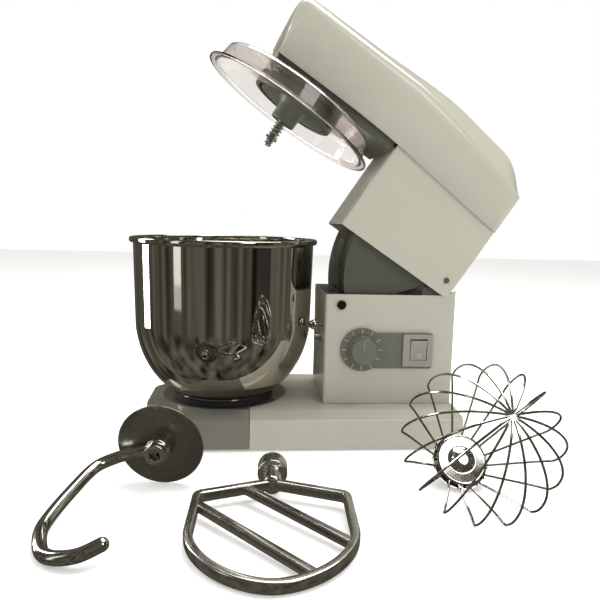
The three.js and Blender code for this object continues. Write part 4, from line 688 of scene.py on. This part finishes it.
# %% Speed knob, dial marks and rocker marks
knob_low, knob_high = (np.array(v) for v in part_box("speed_knob"))
KNOB = (knob_low + knob_high) / 2
KNOB_SKIRT = (knob_high[0] - knob_low[0]) / 2
KNOB_GRIP = KNOB_SKIRT - 0.002
KNOB_BORE = 0.0034
SKIRT_HEIGHT = 0.003
GRIP_START = 0.0034
BEZEL_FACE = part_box("control_bezel")[0][1]
MARKS_OUTER = 0.0268
MARKS_INNER = 0.0205
MARK_COUNT = 12


def facing_front(points, x, z):
    """Turns a shape whose Z axis is its front so that it looks toward -Y at a place on the panel."""
    return set_up(points, (x, 0, z), (0, -1, 0), (1, 0, 0))


def knob_sheet(flutes=20):
    """A profile of radius and height, with r' = r (1 - 0.03 g (1 + cos 20 a)) where g is 1 on the grip."""
    back, front = -knob_high[1], -knob_low[1]
    profile = eased([(KNOB_BORE, back), (KNOB_SKIRT, back), (KNOB_SKIRT, back + SKIRT_HEIGHT),
                     (KNOB_GRIP, back + GRIP_START), (KNOB_GRIP - 0.0006, front - 0.001),
                     (KNOB_GRIP - 0.003, front), (0, front)],
                    [0.0008, 0.0008, 0.0003, 0.001, 0.001], 6)
    sheet = spin(profile, 12 * flutes)
    angle = np.linspace(0, 2 * np.pi, 12 * flutes + 1)
    height = sheet[..., 2]
    above_skirt = np.clip((height - back - GRIP_START) / 0.001, 0, 1)
    below_face = np.clip((front - 0.0004 - height) / 0.001, 0, 1)
    grip = above_skirt * below_face
    share = 1 - 0.028 * grip * (1 + np.cos(flutes * angle))
    sheet[..., :2] *= share[..., None]
    return sheet


piece("speed_knob_fluted", [facing_front(knob_sheet(), KNOB[0], KNOB[2])], "speed_dial", "bezel_grey",
      ["speed_knob"], 50)


def squared(value, power=0.35):
    """The sign of a sine or cosine times its size to a small power, which turns a circle nearly square."""
    return np.sign(value) * np.abs(value) ** power


def bead(width, length, depth, place, turn=0.0):
    """A small raised bar with softened edges: a superellipse section that closes at both ends."""
    u = np.linspace(0, np.pi, 13)[:, None]
    v = np.linspace(0, 2 * np.pi, 25)[None, :]
    x = width / 2 * squared(np.sin(u)) * squared(np.cos(v))
    z = depth / 2 * squared(np.sin(u)) * squared(np.sin(v))
    y = length / 2 * squared(np.cos(u)) + 0 * v
    cos, sin = math.cos(turn), math.sin(turn)
    return np.stack([x * cos - y * sin, x * sin + y * cos, z], axis=-1) + np.asarray(place)


def dial_marks():
    """A short bar every thirty degrees, from the inner to the outer radius of the ring of marks."""
    marks = []
    middle, length = (MARKS_OUTER + MARKS_INNER) / 2, MARKS_OUTER - MARKS_INNER
    for step in range(MARK_COUNT):
        angle = math.radians(360 / MARK_COUNT * step)
        place = (middle * math.cos(angle), middle * math.sin(angle), -BEZEL_FACE)
        marks.append(bead(0.0006, length, 0.0005, place, angle - math.pi / 2))
    return [facing_front(mark, KNOB[0], KNOB[2]) for mark in marks]


piece("dial_marks", dial_marks(), "base", "mark_white")
line = bead(0.0011, 0.011, 0.0008, (0, 0.0078, -knob_low[1]))
piece("knob_line", [facing_front(line, KNOB[0], KNOB[2])], "speed_dial", "light_grey")

rocker_low, rocker_high = (np.array(v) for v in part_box("switch_rocker"))
ROCKER = (rocker_low + rocker_high) / 2


def rocker_marks():
    """The line above and the ring below, laid on the two slopes of the rocker."""
    slope_top, slope_low = 0.0022, 0.0006
    angle = np.linspace(0, 2 * np.pi, 41)
    circle = np.stack([np.cos(angle), np.sin(angle), 0 * angle], axis=-1)
    ring = bar(0.0023 * circle, 0.00035, (0, 0, 1), 8, False)
    line = bead(0.0009, 0.0052, 0.0006, (0, 0.0062, 0))
    return [facing_front(line + (0, 0, -rocker_low[1] - slope_top), ROCKER[0], ROCKER[2]),
            facing_front(ring + (0, -0.0065, -rocker_low[1] - slope_low), ROCKER[0], ROCKER[2])]


piece("rocker_marks", rocker_marks(), "rocker", "mark_white")

# %% [markdown]
# ## Lock knob and feet
# The lock is pulled by a bright ball on a stem. The mixer stands on four turned rubber feet, each held
# in a hole of the base plate by the wider collar at its top.

# %% Lock knob and feet
ball_low, ball_high = (np.array(v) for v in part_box("lock_ball"))
BALL = (ball_low + ball_high) / 2
BALL_RADIUS = (ball_high[2] - ball_low[2]) / 2
around = np.linspace(0, np.pi, 33)
ball_profile = np.stack([BALL_RADIUS * np.sin(around), -BALL_RADIUS * np.cos(around)], axis=-1)
piece("lock_ball_turned", [set_up(spin(ball_profile, 64), BALL, (1, 0, 0), (0, 0, 1))], "lock",
      "polished_steel", ["lock_ball"])
FOOT_COLLAR = 0.0015
FOOT_COLLAR_OUT = 0.002
for end in ("front", "rear"):
    for side in ("left", "right"):
        node = f"foot_{end}_{side}"
        low, high = (np.array(v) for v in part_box(node))
        collar = (high[0] - low[0]) / 2
        stem = collar - FOOT_COLLAR_OUT
        collar_low = high[2] - FOOT_COLLAR
        foot = eased([(0, low[2]), (stem, low[2]), (stem, collar_low), (collar, collar_low),
                      (collar, high[2]), (0, high[2])], 0.0006)
        middle = np.array([(low[0] + high[0]) / 2, (low[1] + high[1]) / 2, 0])
        piece(node + "_turned", [spin(foot, 64) + middle], "base", "rubber", [node])

# %% [markdown]
# ## The tools' own axes
# The loose tools lie on the worktop at odd angles. Their frames come from the model: the corners of
# a flat disc spread least along its axis, and the singular vectors of the corners say which way that is.

# %% Axes of the tools
def least_spread(points):
    """The direction in which points spread least: the last right singular vector of p - mean(p)."""
    return np.linalg.svd(points - points.mean(axis=0), full_matrices=False)[2][-1]


def unit(vector):
    """v / |v|."""
    return np.asarray(vector, float) / np.linalg.norm(vector)


def toward(direction, target):
    """The same line, pointing to the side on which the target vector lies."""
    return direction if np.dot(direction, target) > 0 else -direction


disc = corners_of("hook_disc")
rod = corners_of("hook_rod")
HOOK_PLACE = disc.mean(axis=0)
HOOK_AXIS = toward(least_spread(disc), rod.mean(axis=0) - HOOK_PLACE)
HOOK_ACROSS = least_spread(rod)
HOOK_SIDE = toward(unit(np.cross(HOOK_ACROSS, HOOK_AXIS)), rod.mean(axis=0) - HOOK_PLACE)
print("hook axis", HOOK_AXIS.round(3), "bends toward", HOOK_SIDE.round(3))

# %% [markdown]
# ## Dough hook
# One polished rod, welded to a steel guard disc and to a turned socket. The rod is a bar carried
# along a smooth line through a few chosen points, and it ends in a dome. The weld is a small bead.

# %% Dough hook
DISC_RADIUS = np.linalg.norm(disc - HOOK_PLACE, axis=1).max()
HOOK_LENGTH = 0.160
HOOK_REACH = 0.072
ROD_RADIUS = 0.006
COLLAR_RADIUS = 0.013
BORE_RADIUS = 0.0053


def on_hook(points):
    """From the hook's own axes to its place on the worktop."""
    return set_up(points, HOOK_PLACE, HOOK_AXIS, HOOK_SIDE)


def hook_line():
    """Shares of the length along the axis, and of the reach out from it, from the disc to the tip."""
    shares = np.array([
        (0.05, 0.06), (0.06, 0.35), (0.1, 0.62), (0.19, 0.84), (0.43, 0.95), (0.64, 1), (0.77, 0.98),
        (0.91, 0.83), (0.975, 0.68), (1, 0.48), (0.99, 0.27), (0.93, 0.07)])
    line = through(shares, 12)
    return np.stack([HOOK_REACH * line[:, 1], 0 * line[:, 0], HOOK_LENGTH * line[:, 0]], axis=-1)


collar = eased([(0, 0.002), (BORE_RADIUS, 0.002), (BORE_RADIUS, -0.026), (COLLAR_RADIUS, -0.026),
                (COLLAR_RADIUS, -0.019), (COLLAR_RADIUS - 0.0012, -0.0185), (COLLAR_RADIUS - 0.0012, -0.0165),
                (COLLAR_RADIUS, -0.016), (COLLAR_RADIUS, 0.0125), (COLLAR_RADIUS - 0.002, 0.014),
                (COLLAR_RADIUS - 0.002, 0.0175), (COLLAR_RADIUS - 0.0012, 0.0215), (BORE_RADIUS, 0.0215),
                (BORE_RADIUS - 0.0005, 0.009), (0, 0.009)],
               [0.0004, 0.0008, 0.0012, 0.0004, 0.0004, 0.0004, 0.0004,
                0.001, 0.001, 0.001, 0.0015, 0.001, 0.001], 5)
angle = np.linspace(0, 2 * np.pi, 97)
bead_out = np.stack([np.cos(angle), np.sin(angle), 0 * angle], axis=-1)
bead_line = (COLLAR_RADIUS + 0.0002) * bead_out + (0, 0, -0.0012)
weld = bar(bead_line, 0.0012, (0, 0, 1), 10, False)
piece("hook_rod_polished", [on_hook(bar(hook_line(), ROD_RADIUS, (0, 1, 0), 28)), on_hook(spin(collar, 80)),
                            on_hook(weld)], "hook", "polished_steel", ["hook_rod"])
disc_profile = eased([(COLLAR_RADIUS + 0.0003, -0.00075), (DISC_RADIUS, -0.00075), (DISC_RADIUS, 0.00075),
                      (COLLAR_RADIUS + 0.0003, 0.00075), (COLLAR_RADIUS + 0.0003, -0.00075)],
                     [0.0006, 0.0006, 0.0001], 5)
rings = np.linspace(0, 1, 8)[:, None] * (disc_profile[1] - disc_profile[0]) + disc_profile[0]
piece("hook_disc_spun", [on_hook(spin(np.concatenate([rings, disc_profile[2:]]), 128))], "hook",
      "disc_steel", ["hook_disc"])

# %% [markdown]
# ## Flat beater
# The beater is cast: a rounded bar that runs round a shield shape, two slanting bars across it and
# a turned socket. The frame is a rounded section carried along the middle of its outline.

# %% Flat beater
beater = corners_of("flat_beater")
BEATER_NORMAL = toward(least_spread(beater), (0, 0, 1))
BEATER_ACROSS = unit(np.cross((0, 0, 1), BEATER_NORMAL))
BEATER_ACROSS = toward(BEATER_ACROSS, (1, 0, 0))
BEATER_BACK = unit(np.cross(BEATER_NORMAL, BEATER_ACROSS))
BEATER_BAR = 0.008
BEATER_DEPTH = 0.011
BEATER_WIDTH = np.ptp(beater @ BEATER_ACROSS)
BEATER_LENGTH = 0.168
BEATER_STRAIGHT = 0.092
BEATER_FULLNESS = 1.12
BEATER_BARS = ((-0.045, 0.004, 0.078, -0.120), (-0.087, -0.029, 0.046, -0.164))
on_plane = beater @ np.stack([BEATER_ACROSS, BEATER_BACK, BEATER_NORMAL]).T
BEATER_PLACE = (
    (on_plane[:, 0].max() + on_plane[:, 0].min()) / 2 * BEATER_ACROSS
    + (on_plane[:, 1].min() + BEATER_LENGTH) * BEATER_BACK
    + (on_plane[:, 2].max() + on_plane[:, 2].min()) / 2 * BEATER_NORMAL)
print("beater at", BEATER_PLACE.round(4), "width", round(BEATER_WIDTH, 4))


def on_beater(points):
    """From the beater's own axes to its place on the worktop."""
    return BEATER_PLACE + points @ np.stack([BEATER_ACROSS, BEATER_BACK, BEATER_NORMAL])


def shield(inset, steps=60):
    """The outline moved in: flat shoulders, straight sides, then x = h cos^p t, y = -(s + d sin^p t)."""
    half, length = BEATER_WIDTH / 2 - inset, BEATER_LENGTH - inset
    shoulder = (half, -0.027 - 0.65 * inset)
    straight = (half, -BEATER_STRAIGHT)
    right = eased([(0, -1.05 * inset), shoulder, straight], 0.006, 9)
    t = np.linspace(0, np.pi, steps)[1:-1]
    across = squared(np.cos(t), BEATER_FULLNESS)
    down = (length - BEATER_STRAIGHT) * np.sin(t) ** BEATER_FULLNESS
    bottom = np.stack([half * across, -BEATER_STRAIGHT - down], axis=-1)
    return np.concatenate([right, bottom, right[::-1] * (-1, 1)])


def inside_outline(points, outline):
    """True where a line to the right of a point crosses the outline an odd number of times."""
    x, y = points[:, :1], points[:, 1:]
    ax, ay = outline[:-1].T
    bx, by = outline[1:].T
    slope = (bx - ax) / np.where(by == ay, 1e-12, by - ay)
    crossed = ((ay > y) != (by > y)) & (x < ax + slope * (y - ay))
    return crossed.sum(axis=1) % 2 == 1


def section_bar(path, width, depth, closed=False, power=0.42, sides=28):
    """A rounded-square section carried along a flat path: w/2 |cos|^p across it, d/2 |sin|^p up."""
    ahead = np.gradient(path, axis=0)
    if closed:
        ahead[0] = ahead[-1] = path[1] - path[-2]
    ahead /= np.linalg.norm(ahead, axis=1, keepdims=True)
    across = np.stack([ahead[:, 1], -ahead[:, 0]], axis=-1)
    angle = np.linspace(0, 2 * np.pi, sides + 1)
    out = squared(np.cos(angle), power) * width / 2
    up = squared(np.sin(angle), power) * depth / 2
    flat = path[:, None] + out[:, None] * across[:, None]
    return np.concatenate([flat, np.broadcast_to(up[:, None], (*flat.shape[:2], 1))], axis=2)


def strut(x0, y0, x1, y1):
    """A straight cross bar from frame to frame: the part of a line that lies inside the outline."""
    path = np.linspace((x0, y0), (x1, y1), 200)
    path = path[inside_outline(path, outline)]
    return section_bar(np.linspace(path[0], path[-1], 12), BEATER_BAR, BEATER_DEPTH - 0.002)


outline = shield(BEATER_BAR / 2)
outline = outline[np.concatenate([[True], np.linalg.norm(np.diff(outline, axis=0), axis=1) > 1e-5])]
socket = eased([(0, 0.002), (BORE_RADIUS, 0.002), (BORE_RADIUS, 0.040), (0.0095, 0.040), (0.010, 0.038),
                (0.0155, 0.038), (0.0155, 0.017), (0.010, 0.0165), (0.010, -0.009), (0, -0.009)],
               [0.0005, 0.0006, 0.0004, 0.0004, 0.0015, 0.0015, 0.0008, 0.004], 6)
socket = set_up(spin(socket, 72), (0, 0, 0), (0, 1, 0), (1, 0, 0))
frame_bar = section_bar(outline, BEATER_BAR, BEATER_DEPTH, True)
cast_sheets = [frame_bar, *(strut(*ends) for ends in BEATER_BARS), socket]
piece("flat_beater_cast", [on_beater(sheet) for sheet in cast_sheets], "beater", "aluminium",
      ["flat_beater"], 30)

# %% [markdown]
# ## Whisk
# Eight loops of thin spring wire leave a shallow steel cup. Each loop is one line: out of the
# cup, wide over the shoulder, round the nose and back. The loops are turned about the axis by even
# steps. A turned cap closes the cup between them.

# %% Whisk
cap = corners_of("whisk_cap")
hub = corners_of("whisk_hub")
wires = corners_of("whisk_wires")
WHISK_AXIS = toward(least_spread(cap), wires.mean(axis=0) - cap.mean(axis=0))
WHISK_LEVEL = toward(unit(np.cross(WHISK_AXIS, (0, 0, 1))), (1, 0, 0))
hub_along = (hub - cap.mean(axis=0)) @ WHISK_AXIS
STEM_LENGTH = 0.034
WHISK_PLACE = cap.mean(axis=0) + (hub_along.min() + STEM_LENGTH) * WHISK_AXIS
HUB_RADIUS = 0.030
LOOPS = 8
LOOP_TWIST = math.radians(11.25)
WIRE_RADIUS = 0.0011
WHISK_RADIUS = 0.0777
WHISK_LENGTH = 0.1496
SHOULDER = 0.0585


def on_whisk(points):
    """From the whisk's own axes to its place on the worktop."""
    return set_up(points, WHISK_PLACE, WHISK_AXIS, WHISK_LEVEL)


def loop_line():
    """Distance along the axis and out from it: up out of the cup, over the shoulder, then the ellipse
    along = s + n sin t, out = R cos t, and the same way back on the other side."""
    out = WHISK_RADIUS - WIRE_RADIUS
    rise = np.array([(-0.008, 0.020), (0.0015, HUB_RADIUS - 0.0015), (SHOULDER - 0.016, out - 0.0135),
                     (SHOULDER - 0.007, out - 0.005), (SHOULDER - 0.001, out - 0.0008)])
    t = np.radians(np.linspace(8, 90, 6))
    nose = np.stack([SHOULDER + 0.005 + (WHISK_LENGTH - SHOULDER - 0.005) * np.sin(t), out * np.cos(t)], -1)
    one = np.concatenate([rise, nose])
    other = one[:-1][::-1] * (1, -1)
    return through(np.concatenate([one, other]), 9)


def whisk_loops():
    """The loops, each turned by pi / 8 more than the last, as bars of wire."""
    line = loop_line()
    for k in range(LOOPS):
        turn = LOOP_TWIST + math.pi * k / LOOPS
        out = np.array([math.cos(turn), math.sin(turn), 0])
        path = line[:, 1:] * out + line[:, :1] * np.array([0, 0, 1])
        yield on_whisk(bar(path, WIRE_RADIUS, (-math.sin(turn), math.cos(turn), 0), 10))


piece("whisk_wires_bent", list(whisk_loops()), "whisk", "polished_steel", ["whisk_wires"])
hub_profile = eased([
    (0, -0.004), (BORE_RADIUS, -0.004), (BORE_RADIUS, -STEM_LENGTH), (0.008, -STEM_LENGTH), (0.008, -0.016),
    (HUB_RADIUS - 0.003, -0.009), (HUB_RADIUS, -0.002), (HUB_RADIUS - 0.0015, -0.002),
    (HUB_RADIUS - 0.005, -0.008), (0.008, -0.0115), (0.007, 0.001), (0, 0.001)],
    [0.0004, 0.0005, 0.0008, 0.002, 0.0025, 0.0003, 0.0003, 0.002, 0.0015, 0.001], 6)
piece("whisk_hub_turned", [on_whisk(spin(hub_profile, 128))], "whisk", "polished_steel",
      ["whisk_hub"])
lid = HUB_RADIUS - 0.0035
cap_profile = eased([
    (0, 0.0013), (0.008, 0.0013), (lid - 0.002, 0.0024), (lid, 0.003), (lid, 0.004), (lid - 0.002, 0.0045),
    (0.014, 0.0036), (0.011, 0.005), (0.009, 0.008), (0.006, 0.009), (0, 0.009)],
    [0.001, 0.0008, 0.0004, 0.0004, 0.0008, 0.0015, 0.001, 0.001, 0.001], 6)
piece("whisk_cap_turned", [on_whisk(spin(cap_profile, 128))], "whisk", "polished_steel",
      ["whisk_cap"])

# %% [markdown]
# ## Parts that stay as they are
# The drive inside the head, the brackets, the bush and the gland keep their CAD shape. Each gets the
# finish of its material in the record.

# %% Finishes for the nodes that stay
slot_of = {part["node"]: part["material_slot"] for part in frame["record"]["subparts"]}
kept = [name for name, node in frame["nodes"].items() if not node.hide_render]
for name in kept:
    node = frame["nodes"][name]
    wanted = slot_of[name]
    finish = finishes["zinc_plate" if wanted == "polished_steel" else wanted]
    if not node.material_slots:
        node.data.materials.append(None)
    for place in node.material_slots:
        place.link = "OBJECT"
        place.material = finish
print(len(kept), "nodes keep their own shape")

# %% [markdown]
# ## Floor and light
# A pale floor and an even pale surround stand for a white studio table. One broad light above and
# behind lifts the top faces, and a weaker one in front fills the near sides. Dark and light cards
# outside the view give the polished steel something to reflect. The floor glows a little, so that it
# comes out nearly as white as the surround.

# %% Floor, cards and lights
def plain(name, colour, roughness):
    """A dull, nearly even finish for the floor and the cards."""
    material, tree, shader = new_finish(name)
    tint(tree, noise(tree, 5.0), [c * 0.99 for c in colour], colour, shader.inputs["Base Color"])
    spread(tree, noise(tree, 20.0), roughness - 0.05, roughness + 0.05, shader.inputs["Roughness"])
    return material


def flat_sheet(name, centre, across, up, colour, roughness=0.9, cells=2):
    """A rectangle of points c + u a + v b with u and v from -1/2 to 1/2."""
    u, v = np.meshgrid(np.linspace(-0.5, 0.5, cells), np.linspace(-0.5, 0.5, cells))
    sheet = np.asarray(centre) + u[..., None] * np.asarray(across) + v[..., None] * np.asarray(up)
    mesh = bpy.data.meshes.new(name)
    mesh.from_pydata(sheet.reshape(-1, 3).tolist(), [], grid_faces(cells, cells, 0).tolist())
    mesh.materials.append(plain(name, colour, roughness))
    card = bpy.data.objects.new(name, mesh)
    scene.collection.objects.link(card)
    card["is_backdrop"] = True
    return card


FLOOR_Z = cad_low[2]
floor = flat_sheet("floor", (0, 0, FLOOR_Z), (8, 0, 0), (0, 8, 0), (0.93, 0.93, 0.92))
floor.visible_glossy = False
floor_shader = floor.data.materials[0].node_tree.nodes["Principled BSDF"]
floor_shader.inputs["Emission Color"].default_value = (1, 1, 0.99, 1)
floor_shader.inputs["Emission Strength"].default_value = 0.36
cards = [
    ("pale_card_left", (-1.3, -0.9, 0.6), (0.18, -0.2, 0), (0, 0, 1.4), (0.9, 0.9, 0.88)),
    ("dark_card_right", (0.78, -0.62, 0.3), (0.16, 0.16, 0), (0, 0, 0.8), (0.015, 0.015, 0.015)),
]
for name, centre, across, up, colour in cards:
    card = flat_sheet(name, centre, across, up, colour)
    card.visible_camera = False
    card.visible_diffuse = False
    card.visible_shadow = False


def area_light(name, place, target, size, power, colour=(1, 1, 1)):
    """A rectangular light at a place, turned to face a target, and not itself seen."""
    light = bpy.data.lights.new(name, "AREA")
    light.shape = "RECTANGLE"
    light.size, light.size_y = size
    light.energy = power
    light.color = colour
    lamp = bpy.data.objects.new(name, light)
    scene.collection.objects.link(lamp)
    lamp.location = place
    lamp.rotation_euler = (Vector(target) - Vector(place)).to_track_quat("-Z", "Y").to_euler()
    lamp.visible_camera = False
    return lamp


area_light("top_light", (0.45, 0.25, 1.7), (0.1, 0, 0.1), (1.6, 1.2), 34, (1, 0.985, 0.95))
area_light("front_light", (0.9, -1.5, 1.1), (0.1, 0, 0.2), (0.5, 0.8), 5, (1, 0.98, 0.95))
area_light("left_strip", (-1.2, 0.38, 0.45), (0, 0, 0.15), (0.3, 1.2), 10)


def surround():
    """White to the camera and through clear sheet, even and dimmer as fill, and to polished steel a
    dark room with soft upright streaks: noise that hardly changes with height."""
    world = bpy.data.worlds.new("surround")
    world.use_nodes = True
    nodes, links = world.node_tree.nodes, world.node_tree.links
    room = nodes["Background"]
    streaks = noise(world.node_tree, 3.0, 1.5, (2.0, 2.0, 0.1), "Generated")
    tint(world.node_tree, streaks, (0.010, 0.009, 0.006), (0.17, 0.16, 0.13), room.inputs["Color"])
    fill = nodes.new("ShaderNodeBackground")
    fill.inputs["Color"].default_value = (1, 0.99, 0.97, 1)
    fill.inputs["Strength"].default_value = 0.56
    white = nodes.new("ShaderNodeBackground")
    white.inputs["Color"].default_value = (1, 1, 1, 1)
    rays = nodes.new("ShaderNodeLightPath")
    by_gloss, by_view, by_glass = (nodes.new("ShaderNodeMixShader") for _ in range(3))
    links.new(rays.outputs["Is Glossy Ray"], by_gloss.inputs[0])
    links.new(fill.outputs[0], by_gloss.inputs[1])
    links.new(room.outputs[0], by_gloss.inputs[2])
    links.new(rays.outputs["Is Camera Ray"], by_view.inputs[0])
    links.new(by_gloss.outputs[0], by_view.inputs[1])
    links.new(white.outputs[0], by_view.inputs[2])
    links.new(rays.outputs["Is Transmission Ray"], by_glass.inputs[0])
    links.new(by_view.outputs[0], by_glass.inputs[1])
    links.new(white.outputs[0], by_glass.inputs[2])
    links.new(by_glass.outputs[0], nodes["World Output"].inputs["Surface"])
    return world


scene.world = surround()
scene.view_settings.view_transform = "Standard"
print("floor at", round(FLOOR_Z, 4))

# %% Sizes, then finish
low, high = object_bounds()
print("visual box differs by", [round(v, 4) for v in (*(low - cad_low), *(high - cad_high))])
